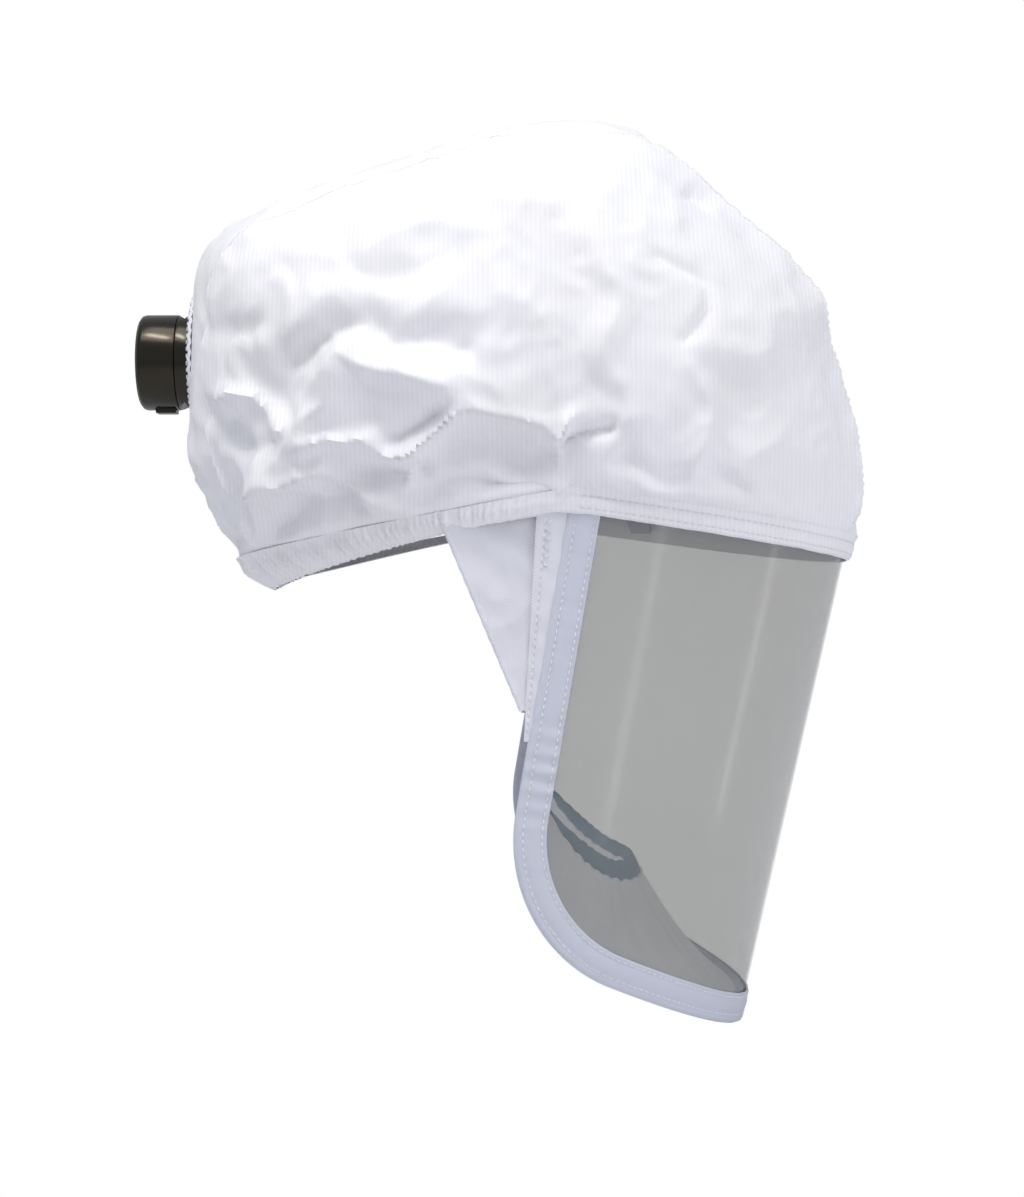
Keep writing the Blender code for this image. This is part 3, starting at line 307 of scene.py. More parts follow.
def block_cut(piece, size, centre, tilt=0.0):
    """Cuts a box out of a piece; tilt turns the box about the Y axis."""
    bpy.ops.object.select_all(action="DESELECT")
    bpy.ops.mesh.primitive_cube_add(size=1.0, location=centre)
    cutter = bpy.context.object
    cutter.scale = size
    cutter.rotation_euler = (0.0, tilt, 0.0)
    bpy.ops.object.transform_apply(location=False, rotation=True, scale=True)
    apply_modifier(piece, "BOOLEAN", object=cutter, solver="EXACT")
    bpy.data.objects.remove(cutter)


def settle(piece, material, body, nodes=()):
    """Gives a finished piece its material in its one material slot and its body, and hides the CAD nodes
    it stands for.
    """
    piece.data.materials.clear()
    piece.data.materials.append(material)
    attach(piece, body)
    if nodes:
        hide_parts(*nodes)


def lengths_along(line):
    """How far along a line each of its points lies."""
    steps = np.linalg.norm(np.diff(line, axis=0), axis=1)
    return np.concatenate([[0.0], np.cumsum(steps)])


def at_place(values, along, place):
    """Values of a line's points, read at a place along it."""
    return np.stack([np.interp(place, along, values[:, k]) for k in range(3)], axis=-1)


def unit(vector):
    return vector / np.linalg.norm(vector)


# A stitch's cross pieces: place along it as a share of its length, half width and height as
# shares of its width
STITCH = ((-0.5, 0.35, -0.3), (-0.25, 0.5, 0.7), (0.25, 0.5, 0.7), (0.5, 0.35, -0.3))


def stitch_row(name, points, normals, material, body, width=0.55 * MM, zigzag=0.0):
    """Short raised stitches along a line that lies on a piece, evenly spaced."""
    length = settings().stitch_length
    along = lengths_along(points)
    count = max(int(along[-1] / (length * 1.3)), 2)
    corners = []
    faces = []
    for i in range(count):
        place = (i + 0.5) / count * along[-1]
        centre = at_place(points, along, place)
        ahead = at_place(points, along, place + 0.5 * MM) - centre
        if not np.linalg.norm(ahead):
            continue
        ahead = unit(ahead)
        normal = unit(at_place(normals, along, place))
        side = unit(np.cross(normal, ahead))
        if zigzag:
            slant = zigzag * (-1) ** i
            ahead, side = unit(side + ahead * slant), unit(ahead - side * slant)
        base = len(corners)
        for reach, half, height in STITCH:
            middle = centre + ahead * length * reach + normal * width * height
            corners += [middle + side * width * half, middle - side * width * half]
        low = base + 8
        corners.append(centre - normal * width - ahead * length * 0.3)
        corners.append(centre - normal * width + ahead * length * 0.3)
        faces += [(base, base + 1, base + 3, base + 2), (base + 2, base + 3, base + 5, base + 4),
                  (base + 4, base + 5, base + 7, base + 6),
                  (base, base + 2, base + 4, base + 6, low + 1, low),
                  (base + 1, low, low + 1, base + 7, base + 5, base + 3),
                  (base, low, base + 1), (base + 6, base + 7, low + 1)]
    piece = mesh_object(name, corners, faces)
    face_outwards(piece)
    smooth(piece, 80)
    settle(piece, material, body)
    return piece


def surface_normals(grid):
    """Unit normals of a grid of points."""
    across = np.gradient(grid, axis=0)
    along = np.gradient(grid, axis=1)
    normals = np.cross(across, along)
    length = np.linalg.norm(normals, axis=2, keepdims=True)
    return normals / np.maximum(length, 1e-9)


def cut_area(grid):
    """Area of the sheet through a grid of points."""
    a = grid[:-1, :-1]
    b = grid[1:, :-1]
    c = grid[1:, 1:]
    d = grid[:-1, 1:]
    twice = np.linalg.norm(np.cross(b - a, c - a), axis=2).sum()
    twice += np.linalg.norm(np.cross(c - a, d - a), axis=2).sum()
    return float(twice / 2)


def rough(points, scale, seed, ridged=False):
    """Smooth noise from -1 to 1 at each point, with features about 1/scale long."""
    flat = points.reshape(-1, 3)
    shift = Vector((seed * 7.3, seed * 3.1, seed * 5.7))
    values = [noise.noise(Vector(p) * scale + shift) for p in flat]
    values = np.array(values).reshape(points.shape[:-1])
    if ridged:
        values = 1.0 - 3.0 * np.abs(values)
    return values


# ---------------------------------------------------------------- curves of the hood


def lens_centre_x(z):
    return LENS_CENTRE_X + (z - BROW_FRONT_Z) * math.tan(LENS_LEAN)


def oval(turn):
    """Shares (ahead, beside) on the hood's plan; turn is 0 in front, 1 or -1 at the sides."""
    ahead = np.maximum(np.cos(turn * QUARTER), 0.0) ** (2 / ROUNDNESS)
    beside = np.sign(turn) * np.abs(np.sin(turn * QUARTER)) ** (2 / ROUNDNESS)
    return ahead, beside


def lens_point(turn, z, offset=0.0):
    """Points offset outwards from the lens; turn runs from -1 on the right to 1 on the left."""
    ahead, beside = oval(turn)
    x = lens_centre_x(z) + (LENS_DEPTH + offset) * ahead
    return np.stack([x, (LENS_HALF_WIDTH + offset) * beside, z + 0 * x], axis=-1)


def brow_z(turn, rise=0.0):
    """Height above the brow hem's lower edge."""
    return BROW_SIDE_Z + (BROW_FRONT_Z - BROW_SIDE_Z) * oval(turn)[0] + rise


def lens_normal(point):
    share = max((point[0] - lens_centre_x(point[2])) / LENS_DEPTH, 0.0)
    side = abs(point[1]) / LENS_HALF_WIDTH
    normal = Vector((share ** (ROUNDNESS - 1) / LENS_DEPTH,
                     math.copysign(side ** (ROUNDNESS - 1), point[1]) / LENS_HALF_WIDTH, 0.0))
    normal.z = -normal.x * math.tan(LENS_LEAN)
    return normal.normalized()


def visor_edge(grow, top):
    """The lens's edge grown outwards, from the right top round the chin to the left top."""
    bottom_z = BROW_FRONT_Z - LENS_DROP
    bottom = Vector((lens_centre_x(bottom_z) + LENS_DEPTH, bottom_z))
    rear = Vector((lens_centre_x(BROW_SIDE_Z) + REAR_EDGE_SETBACK, BROW_SIDE_Z))
    rear_out = Vector((-math.cos(REAR_EDGE_LEAN), math.sin(REAR_EDGE_LEAN)))
    bottom_out = Vector((-math.sin(BOTTOM_RISE), -math.cos(BOTTOM_RISE)))
    start = rear - rear_out * CORNER_RADIUS
    down = Vector((-math.sin(REAR_EDGE_LEAN), -math.cos(REAR_EDGE_LEAN)))
    depth = (start - bottom).dot(bottom_out) + CORNER_RADIUS
    centre = start + down * (-depth / down.dot(bottom_out))
    radius = CORNER_RADIUS + grow
    foot = bottom + bottom_out * grow
    slope = math.tan(BOTTOM_RISE)
    lean = math.tan(LENS_LEAN)
    base = foot.y + slope * (foot.x - LENS_CENTRE_X + BROW_FRONT_Z * lean)
    corner = centre + bottom_out * radius

    def bottom_z(turns):
        return (base - slope * LENS_DEPTH * oval(turns)[0]) / (1 + slope * lean)

    turns = np.linspace(0, 1, 2001)
    ahead = lens_centre_x(bottom_z(turns)) + LENS_DEPTH * oval(turns)[0] > corner.x
    last_turn = turns[ahead][-1]
    route = [lens_point(turn, bottom_z(turn)) for turn in np.linspace(0, last_turn, 70)[:-1]]
    first = math.atan2(bottom_out.y, bottom_out.x)
    last = math.atan2(rear_out.y, rear_out.x) - 2 * math.pi
    profile = []
    for angle in np.linspace(first, last, 40)[:-1]:
        profile.append(centre + Vector((math.cos(angle), math.sin(angle))) * radius)
    rear_start = centre + rear_out * radius
    rear_end = rear_start + (top - rear_start.y) * Vector((math.tan(REAR_EDGE_LEAN), 1.0))
    profile += [rear_start.lerp(rear_end, share) for share in np.linspace(0, 1, 50)]
    for x, z in profile:
        share = min(max((x - lens_centre_x(z)) / LENS_DEPTH, 0.0), 1.0)
        beside = (1 - share ** ROUNDNESS) ** (1 / ROUNDNESS)
        route.append(np.array([x, LENS_HALF_WIDTH * beside, z]))
    left = np.array(route)
    return np.concatenate([left[:0:-1] * (1, -1, 1), left])


def even_points(route, count):
    """The route again with evenly spaced points."""
    along = lengths_along(route)
    return at_place(route, along, np.linspace(0, along[-1], count))


def turn_of(point):
    """The turn at which a point of the lens lies."""
    ahead = max((point[0] - lens_centre_x(point[2])) / LENS_DEPTH, 0.0)
    beside = abs(point[1]) / LENS_HALF_WIDTH
    angle = math.atan2(beside ** (ROUNDNESS / 2), ahead ** (ROUNDNESS / 2))
    return math.copysign(angle / QUARTER, point[1])


def profile_points(shares):
    """Points of the crown's side profile at shares of the way from the brow to the nape."""
    front = lens_centre_x(0.0) + LENS_DEPTH + HEM_OUTER - 3 * MM
    knots = np.array(CROWN_PROFILE) * (1, CROWN_TOP)
    knots[:, 0] *= np.where(knots[:, 0] > 0, front, CROWN_REAR)
    last = len(knots) - 1
    place = np.minimum(shares, 0.999999) * last
    index = place.astype(int)
    t = (place - index)[:, None]
    p0, p1, p2, p3 = (knots[np.clip(index + k, 0, last)] for k in (-1, 0, 1, 2))
    return 0.5 * ((2 * p1) + (p2 - p0) * t + (2 * p0 - 5 * p1 + 4 * p2 - p3) * t * t
                  + (3 * p1 - p0 - 3 * p2 + p3) * t ** 3)


def crown_pole():
    return np.array([lens_centre_x(BROW_SIDE_Z + HEM_HEIGHT), BROW_SIDE_Z + HEM_HEIGHT + GAP])


def crown_surface(shares, turns):
    """Grid of the smooth crown: rows from the brow to the nape, columns from the left to the right."""
    pole = crown_pole()
    ahead, beside = oval(turns)
    rim = profile_points(shares)
    centre = pole + (rim[:, None, :] - pole) * ahead[None, :, None]
    puff = np.sqrt(np.maximum(np.sin(math.pi * shares), 0.0))[:, None]
    puff = puff * np.sin(math.pi * (1 - np.abs(turns)) ** 0.7)[None, :]
    half = (LENS_HALF_WIDTH + HEM_OUTER) * np.abs(beside)[None, :] + CROWN_PUFF * puff
    return np.stack([centre[..., 0], -np.sign(turns)[None, :] * half, centre[..., 1]], axis=-1)


# ---------------------------------------------------------------- crown folds

# The folds are laid out as they look from an eye beside the hood: its place in millimetres and
# how many metres it is away
EYE_X = 5.0
EYE_Z = -53.3
EYE_AWAY = 1.0
# Folds of the side panels: height, half width, then (x, z) points along the fold, all in
# millimetres on the middle plane as they look from the side. A negative height is a hollow.
SIDE_FOLDS = [
    (-10.0, 11.0, (-22, 16), (4, 17), (24, 12)),
    (4.5, 4.0, (-24, 28), (0, 30), (18, 29), (27, 22)),
    (5.0, 4.0, (28, 30), (29, 12), (27, -3)),
    (-3.5, 3.5, (33, 18), (47, 21)),
    (6.0, 5.5, (-29, 26), (-34, 13), (-43, 2)),
    (-5.0, 6.0, (-52, 22), (-36, 34)),
    (-6.0, 9.0, (-112, 40), (-87, 60), (-64, 73), (-42, 70), (-16, 60)),
    (6.0, 9.0, (-98, 6), (-81, 36), (-66, 57), (-48, 54), (-26, 44)),
    (5.0, 4.5, (-138, 36), (-119, 41), (-99, 25)),
    (-5.5, 6.0, (-136, 25), (-108, 20)),
    (-3.0, 5.0, (-138, 62), (-114, 74)),
    (-7.0, 5.0, (-140, 14), (-124, 2), (-124, -20)),
    (6.0, 5.0, (-118, -20), (-114, -3), (-100, 3), (-76, 2), (-64, -6)),
    (-7.0, 7.0, (-108, -17), (-94, -10), (-76, -10)),
    (5.5, 4.5, (-84, 15), (-59, 18), (-36, 14)),
    (-6.5, 6.0, (-66, -2), (-52, 7), (-34, 7)),
    (-6.0, 7.0, (-40, -3), (-14, -4), (14, -5)),
    (2.5, 6.0, (91, 52), (94, 3)),
    (-2.5, 10.0, (106, 42), (104, 6)),
    (-2.0, 3.5, (74, 109), (91, 92), (90, 68)),
    (2.0, 8.0, (48, 90), (56, 30)),
    (-2.0, 10.0, (34, 100), (38, 44)),
    (-2.5, 5.0, (60, 10), (86, 4), (110, -4)),
    (-3.0, 5.0, (-48, 143), (-22, 140), (6, 146)),
    (2.5, 8.0, (-60, 120), (-20, 126), (20, 130)),
    (-2.0, 8.0, (-96, 100), (-60, 96), (-20, 104)),
    (-4.0, 3.5, (84, 136), (94, 130)),
]


def fold_height(x, z, folds, stretch):
    """Height in metres that the folds add at points (x, z) in millimetres."""
    x = x + 4.5 * np.sin(z / 8.3 + 0.6) + 1.2 * np.sin(x / 6.1 + z / 9.0)
    z = z + 3.5 * np.sin(x / 9.7) + 0.9 * np.sin(x / 5.3 - z / 8.0)
    total = np.zeros_like(x)
    for height, half, *points in folds:
        nearest = np.full_like(x, 1e9)
        for (x0, z0), (x1, z1) in zip(points, points[1:]):
            run = (x1 - x0) ** 2 + (z1 - z0) ** 2
            share = np.clip(((x - x0) * (x1 - x0) + (z - z0) * (z1 - z0)) / run, 0, 1)
            away = np.hypot(x - x0 - share * (x1 - x0), z - z0 - share * (z1 - z0))
            nearest = np.minimum(nearest, away)
        reach = nearest / (half * stretch)
        crest = np.exp(-reach ** 2) if height < 0 else np.exp(-reach ** 1.4)
        total += height * MM * crest
    return total


def crown_grid():
    """The folded crown as a grid, with its rows' shares and columns' turns."""
    shares = np.concatenate([np.linspace(0, CROSS_SEAM, 91), np.linspace(CROSS_SEAM, 1, 131)[1:]])
    side = np.linspace(SEAM_TURN, 1, 92)
    middle = np.linspace(-SEAM_TURN, SEAM_TURN, 71)
    turns = np.concatenate([-side[::-1], middle[1:-1], side])
    base = crown_surface(shares, turns)
    normals = surface_normals(base)
    head_middle = np.array([0.0, 0.0, 40 * MM])
    outward = base - head_middle
    flip = np.sign((normals * outward).sum(axis=2, keepdims=True))
    normals = normals * np.where(flip == 0, 1, flip)
    near = EYE_AWAY - np.abs(base[..., 1])
    x = EYE_X + (base[..., 0] / MM - EYE_X) / near
    z = EYE_Z + (base[..., 2] / MM - EYE_Z) / near
    on_side = np.clip((np.abs(turns) - SEAM_TURN) / 0.12, 0, 1)[None, :] ** 0.7
    right = fold_height(x, z, SIDE_FOLDS, 1.0)
    left = fold_height(x + 6 * np.sin(z / 31.0), z + 5 * np.cos(x / 27.0), SIDE_FOLDS, 1.15)
    folds = np.where(turns[None, :] > 0, right, left) * on_side
    folds = folds + seam_shape(shares, turns) + top_shape(base, shares, turns)
    held = rim_hold(base, shares, turns)
    crumple = settings().crumple
    rearwards = np.clip((0.03 - base[..., 0]) / 0.1, 0, 1)
    downwards = np.clip((0.09 - base[..., 2]) / 0.06, 0.2, 1)
    loose = 0.55 + 0.75 * rearwards * downwards
    small = rough(base * (1, 1, 0.8), 32, 1, ridged=True) + 0.5 * rough(base, 75, 2, ridged=True)
    small = small + 0.9 * rough(base * (1, 1, 0.45), 24, 3)
    height = folds * settings().fold_depth + crumple * loose * small
    return base + normals * (height * held)[..., None], shares, turns


def seam_shape(shares, turns):
    """The side panels fold forward over the front panel at the seams."""
    past = (np.abs(turns) - SEAM_TURN)[None, :]
    over = 2.5 * MM * np.exp(-np.maximum(past, 0) / 0.035) * (past >= 0)
    under = -6.5 * MM * np.exp(-np.maximum(-past, 0) / 0.16) * (past < 0)
    front = np.clip((CROSS_SEAM + 0.02 - shares) / 0.08, 0.22, 1)[:, None]
    pucker = 0.35 * MM * np.sin(shares * 620)[:, None] * np.exp(-(past / 0.03) ** 2)
    return (over + under) * front + pucker


def top_shape(base, shares, turns):
    """Cross seam, centre seam and the low swells on the top of the crown."""
    cross = -1.6 * MM * np.exp(-((shares - CROSS_SEAM) / 0.008) ** 2)[:, None]
    cross = cross * (np.abs(turns) < SEAM_TURN)
    bead = 0.9 * MM * np.exp(-(turns / 0.012) ** 2)[None, :] * (shares < CROSS_SEAM)[:, None]
    swell = 1.32 * MM * np.sin(base[..., 0] / 0.031 + 1.2)
    return cross + bead + swell * np.clip((base[..., 2] - 0.06) / 0.06, 0, 1)


def rim_hold(base, shares, turns):
    """Folds die away at the hems and at the inlet's patch."""
    rim = np.clip(np.minimum(shares, 1 - shares) / 0.035, 0, 1)[:, None]
    ends = np.clip((1 - np.abs(turns)) / 0.05, 0, 1)[None, :]
    away = np.hypot(base[..., 1], base[..., 2] - INLET_Z)
    patch = np.clip((away - PATCH_RADIUS - 2 * MM) / 0.02, 0, 1)
    patch = np.where(base[..., 0] < REAR_FACE_X, patch, 1.0)
    return rim * ends * patch


def even_out(values, passes):
    """Averages each place of a grid with its neighbours, as often as asked."""
    for _ in range(passes):
        padded = np.pad(values, ((1, 1), (1, 1), (0, 0)), mode="edge")
        across = padded[1:-1, :-2] + padded[1:-1, 2:]
        along = padded[:-2, 1:-1] + padded[2:, 1:-1]
        values = 0.5 * values + 0.125 * (across + along)
    return values


def widened(values, rows, columns, step):
    """A grid of values brought back to the rows and columns that every step-th one came from."""
    full = np.empty((rows, columns, values.shape[2]))
    row_place = np.arange(rows) / step
    column_place = np.arange(columns) / step
    for k in range(values.shape[2]):
        wide = [np.interp(column_place, np.arange(values.shape[1]), line) for line in values[..., k]]
        tall = [np.interp(row_place, np.arange(values.shape[0]), line) for line in np.array(wide).T]
        full[..., k] = np.array(tall).T
    return full


def relax_cloth(grid, frames=16, most=4 * MM, step=2):
    """Lets the crown cloth buckle between its held rims, by up to a length, and returns the grid."""
    coarse = grid[::step, ::step]
    piece = mesh_object("crown_cloth", coarse.reshape(-1, 3), grid_faces(*coarse.shape[:2]))
    held = piece.vertex_groups.new(name="held")
    away = np.hypot(coarse[..., 1], coarse[..., 2] - INLET_Z)
    still = (coarse[..., 0] < REAR_FACE_X) & (away < PATCH_RADIUS + 6 * MM)
    still[:2] = still[-2:] = True
    still[:, :2] = still[:, -2:] = True
    held.add([int(i) for i in np.flatnonzero(still.reshape(-1))], 1.0, "REPLACE")
    held.add([int(i) for i in np.flatnonzero(~still.reshape(-1))], 0.035, "REPLACE")
    modifier = piece.modifiers.new("Cloth", "CLOTH")
    cloth = modifier.settings
    cloth.quality = 6
    cloth.mass = 0.08
    cloth.tension_stiffness = 30
    cloth.compression_stiffness = 30
    cloth.bending_stiffness = 0.25
    cloth.shrink_min = -0.035
    cloth.use_pressure = True
    cloth.uniform_pressure_force = 0.1
    cloth.effector_weights.gravity = 0.25
    cloth.vertex_group_mass = "held"
    cloth.pin_stiffness = 1.0
    modifier.point_cache.frame_start = 1
    modifier.point_cache.frame_end = frames
    scene = bpy.context.scene
    for number in range(1, frames + 1):
        scene.frame_set(number)
    evaluated = piece.evaluated_get(bpy.context.evaluated_depsgraph_get())
    moved = np.array([v.co for v in evaluated.data.vertices]).reshape(coarse.shape)
    scene.frame_set(1)
    bpy.data.objects.remove(piece)
    shift = even_out(moved - coarse, 2)
    shift = shift - even_out(shift, 90)
    length = np.linalg.norm(shift, axis=2, keepdims=True)
    shift = shift * np.minimum(1.0, most / np.maximum(length, 1e-9))
    return grid + widened(shift, *grid.shape[:2], step)


# ---------------------------------------------------------------- materials


def node_group(name, inputs, outputs):
    """A new shader node group with its named sockets, or None for the nodes if it exists."""
    if name in bpy.data.node_groups:
        return bpy.data.node_groups[name], None, None, None
    group = bpy.data.node_groups.new(name, "ShaderNodeTree")
    for label, kind, default in inputs:
        socket = group.interface.new_socket(name=label, in_out="INPUT", socket_type=kind)
        socket.default_value = default
    for label, kind in outputs:
        group.interface.new_socket(name=label, in_out="OUTPUT", socket_type=kind)
    nodes = group.nodes
    return group, nodes, nodes.new("NodeGroupInput"), nodes.new("NodeGroupOutput")


def add_math(group, operation, *values):
    node = group.nodes.new("ShaderNodeMath")
    node.operation = operation
    for i, value in enumerate(values):
        if isinstance(value, (int, float)):
            node.inputs[i].default_value = value
        else:
            group.links.new(value, node.inputs[i])
    return node.outputs[0]


def object_axis(tree, axis):
    place = tree.nodes.new("ShaderNodeTexCoord")
    split = tree.nodes.new("ShaderNodeSeparateXYZ")
    tree.links.new(place.outputs["Object"], split.inputs[0])
    return split.outputs[axis], place.outputs["Object"]


def noise_node(tree, vector, scale, detail, roughness=0.5):
    node = tree.nodes.new("ShaderNodeTexNoise")
    node.inputs["Scale"].default_value = scale
    node.inputs["Detail"].default_value = detail
    node.inputs["Roughness"].default_value = roughness
    tree.links.new(vector, node.inputs["Vector"])
    return node.outputs["Fac"]


def mixed(tree, share, first, second, blend="MIX"):
    """A blend of two colours, each a socket or plain values, by a socket's share."""
    node = tree.nodes.new("ShaderNodeMix")
    node.data_type = "RGBA"
    node.blend_type = blend
    tree.links.new(share, node.inputs["Factor"])
    for label, colour in (("A", first), ("B", second)):
        if isinstance(colour, tuple):
            node.inputs[label].default_value = colour
        else:
            tree.links.new(colour, node.inputs[label])
    return node.outputs["Result"]


def ribs_group(axis):
    """Fine parallel ribs across one axis, broken up as in a bonded cloth."""
    name = f"Cloth ribs {'XYZ'[axis]}"
    group, nodes, given, out = node_group(
        name, [("Spacing", "NodeSocketFloat", 0.002), ("Break", "NodeSocketFloat", 0.4)],
        [("Height", "NodeSocketFloat"), ("Mask", "NodeSocketFloat")])
    if nodes is None:
        return group
    along, vector = object_axis(group, axis)
    sway = noise_node(group, vector, 40.0, 2.0)
    swayed = add_math(group, "ADD", along, add_math(group, "MULTIPLY", sway, 0.0012))
    turns = add_math(group, "DIVIDE", swayed, given.outputs["Spacing"])
    wave = add_math(group, "SINE", add_math(group, "MULTIPLY", turns, 2 * math.pi))
    wave = add_math(group, "MULTIPLY_ADD", wave, 0.5, 0.5)
    worn = noise_node(group, vector, 170.0, 3.0)
    worn = add_math(group, "MULTIPLY_ADD", worn, given.outputs["Break"], 0.3)
    fibre = noise_node(group, vector, 1400.0, 2.0)
    height = add_math(group, "ADD", add_math(group, "MULTIPLY", wave, worn),
                      add_math(group, "MULTIPLY", fibre, 0.35))
    group.links.new(height, out.inputs["Height"])
    # The mask is low in the hollows between the ribs, where cloth_material paints shade.
    group.links.new(wave, out.inputs["Mask"])
    return group


def patches_group():
    """Broad, soft changes of tone from handling and from cloth lying on cloth."""
    group, nodes, given, out = node_group(
        "Cloth patches", [("Plain", "NodeSocketColor", (0.9, 0.9, 0.9, 1)),
                          ("Worn", "NodeSocketColor", (0.85, 0.83, 0.82, 1)),
                          ("Size", "NodeSocketFloat", 14.0)], [("Colour", "NodeSocketColor")])
    if nodes is None:
        return group
    _, vector = object_axis(group, 0)
    node = nodes.new("ShaderNodeTexNoise")
    node.inputs["Detail"].default_value = 4.0
    group.links.new(vector, node.inputs["Vector"])
    group.links.new(given.outputs["Size"], node.inputs["Scale"])
    ramp = nodes.new("ShaderNodeMapRange")
    ramp.inputs["From Min"].default_value = 0.42
    ramp.inputs["From Max"].default_value = 0.72
    group.links.new(node.outputs["Fac"], ramp.inputs["Value"])
    colour = mixed(group, ramp.outputs["Result"], given.outputs["Plain"], given.outputs["Worn"])
    group.links.new(colour, out.inputs["Colour"])
    return group


def weave_group():
    """A plain weave or knit as two crossed waves, with loose fibres."""
    group, nodes, given, out = node_group(
        "Weave", [("Thread", "NodeSocketFloat", 0.0008), ("Fuzz", "NodeSocketFloat", 0.4)],
        [("Height", "NodeSocketFloat"), ("Mask", "NodeSocketFloat")])
    if nodes is None:
        return group
    x, vector = object_axis(group, 0)
    z, _ = object_axis(group, 2)
    y, _ = object_axis(group, 1)
    level = add_math(group, "ADD", x, y)
    one = add_math(group, "SINE", add_math(group, "DIVIDE", level, given.outputs["Thread"]))
    two = add_math(group, "SINE", add_math(group, "DIVIDE", z, given.outputs["Thread"]))
    cross = add_math(group, "MULTIPLY_ADD", add_math(group, "MULTIPLY", one, two), 0.5, 0.5)
    fibre = add_math(group, "MULTIPLY", noise_node(group, vector, 1500.0, 3.0), given.outputs["Fuzz"])
    group.links.new(add_math(group, "ADD", cross, fibre), out.inputs["Height"])
    # The mask is low in the hollows between the threads, where cloth_material paints shade.
    group.links.new(cross, out.inputs["Mask"])
    return group


def grain_group():
    """Moulding grain with fine scuffs, for plastics and rubber."""
    group, nodes, given, out = node_group(
        "Moulded grain", [("Scale", "NodeSocketFloat", 900.0), ("Scuff", "NodeSocketFloat", 0.3)],
        [("Height", "NodeSocketFloat"), ("Scuffs", "NodeSocketFloat")])
    if nodes is None:
        return group
    _, vector = object_axis(group, 0)
    fine = nodes.new("ShaderNodeTexNoise")
    fine.inputs["Detail"].default_value = 2.0
    group.links.new(vector, fine.inputs["Vector"])
    group.links.new(given.outputs["Scale"], fine.inputs["Scale"])
    stretch = nodes.new("ShaderNodeMapping")
    stretch.inputs["Scale"].default_value = (1.0, 1.0, 6.0)
    stretch.inputs["Rotation"].default_value = (0.5, 0.9, 0.3)
    group.links.new(vector, stretch.inputs["Vector"])
    streak = noise_node(group, stretch.outputs["Vector"], 160.0, 5.0, 0.65)
    streak = add_math(group, "MULTIPLY", add_math(group, "POWER", streak, 3.0), given.outputs["Scuff"])
    group.links.new(fine.outputs["Fac"], out.inputs["Height"])
    group.links.new(streak, out.inputs["Scuffs"])
    return group


def new_material(name):
    """A material with a Principled shader, or the one of that name and None if it's already made."""
    if name in bpy.data.materials:
        return bpy.data.materials[name], None
    material = bpy.data.materials.new(name)
    material.use_nodes = True
    return material, material.node_tree.nodes["Principled BSDF"]


def place_group(tree, group, **values):
    node = tree.nodes.new("ShaderNodeGroup")
    node.node_tree = group
    for label, value in values.items():
        node.inputs[label].default_value = value
    return node


def add_bump(tree, shader, height, distance, strength):
    bump = tree.nodes.new("ShaderNodeBump")
    bump.inputs["Strength"].default_value = strength
    bump.inputs["Distance"].default_value = distance
    tree.links.new(height, bump.inputs["Height"])
    tree.links.new(bump.outputs["Normal"], shader.inputs["Normal"])


def spread(tree, mask, low, high):
    """A value that runs from low to high with a mask."""
    node = tree.nodes.new("ShaderNodeMapRange")
    node.inputs["To Min"].default_value = low
    node.inputs["To Max"].default_value = high
    tree.links.new(mask, node.inputs["Value"])
    return node.outputs["Result"]


def cloth_material(name, pattern, plain, worn, size, thread_gap_shade, depth, roughness, bump):
    """Cloth whose pattern group paints shade into the hollows between its threads, roughens them and
    raises its threads.
    """
    material, shader = new_material(name)
    if shader is None:
        return material
    tree = material.node_tree
    group, values = pattern
    threads = place_group(tree, group, **values)
    patches = place_group(tree, patches_group(), Plain=plain, Worn=worn, Size=size)
    mask = threads.outputs["Mask"]
    # Painted shade: the hollows between the threads are multiplied towards a bluish shade colour, as
    # strongly as depth says.
    colour = mixed(tree, spread(tree, mask, depth, 0.0), patches.outputs["Colour"], thread_gap_shade, "MULTIPLY")
    tree.links.new(colour, shader.inputs["Base Color"])
    tree.links.new(spread(tree, mask, *roughness), shader.inputs["Roughness"])
    add_bump(tree, shader, threads.outputs["Height"], *bump)
    shader.inputs["Sheen Weight"].default_value = 0.2
    return material


def crown_cloth(axis):
    """Ribbed bonded cloth; the ribs cross the given axis."""
    ribs = (ribs_group(axis), {"Spacing": settings().rib_spacing, "Break": 0.45})
    # The bluish colour (0.55, 0.57, 0.66, 1) below is painted shade between the ribs.
    material = cloth_material(
        f"ribbed_cloth_{'xyz'[axis]}", ribs, tuple(settings().cloth_colour), (0.88, 0.865, 0.865, 1),
        13.0, (0.55, 0.57, 0.66, 1), 0.10, (0.62, 0.5), (0.22 * MM, 0.55))
    shader = material.node_tree.nodes["Principled BSDF"]
    shader.inputs["Specular IOR Level"].default_value = 0.35
    shader.inputs["Sheen Weight"].default_value = 0.15
    return material


def woven_cloth(name, plain, worn, thread, strength, roughness=0.7, fuzz=0.4):
    """Smooth cloth, tape or knit: a weave with soft changes of tone."""
    weave = (weave_group(), {"Thread": thread, "Fuzz": fuzz})
    # The bluish colour (0.5, 0.5, 0.56, 1) is painted shade between the threads.
    return cloth_material(name, weave, plain, worn, 30.0, (0.5, 0.5, 0.56, 1), 0.25,
                          (roughness + 0.1, roughness), (thread * 0.35, strength))


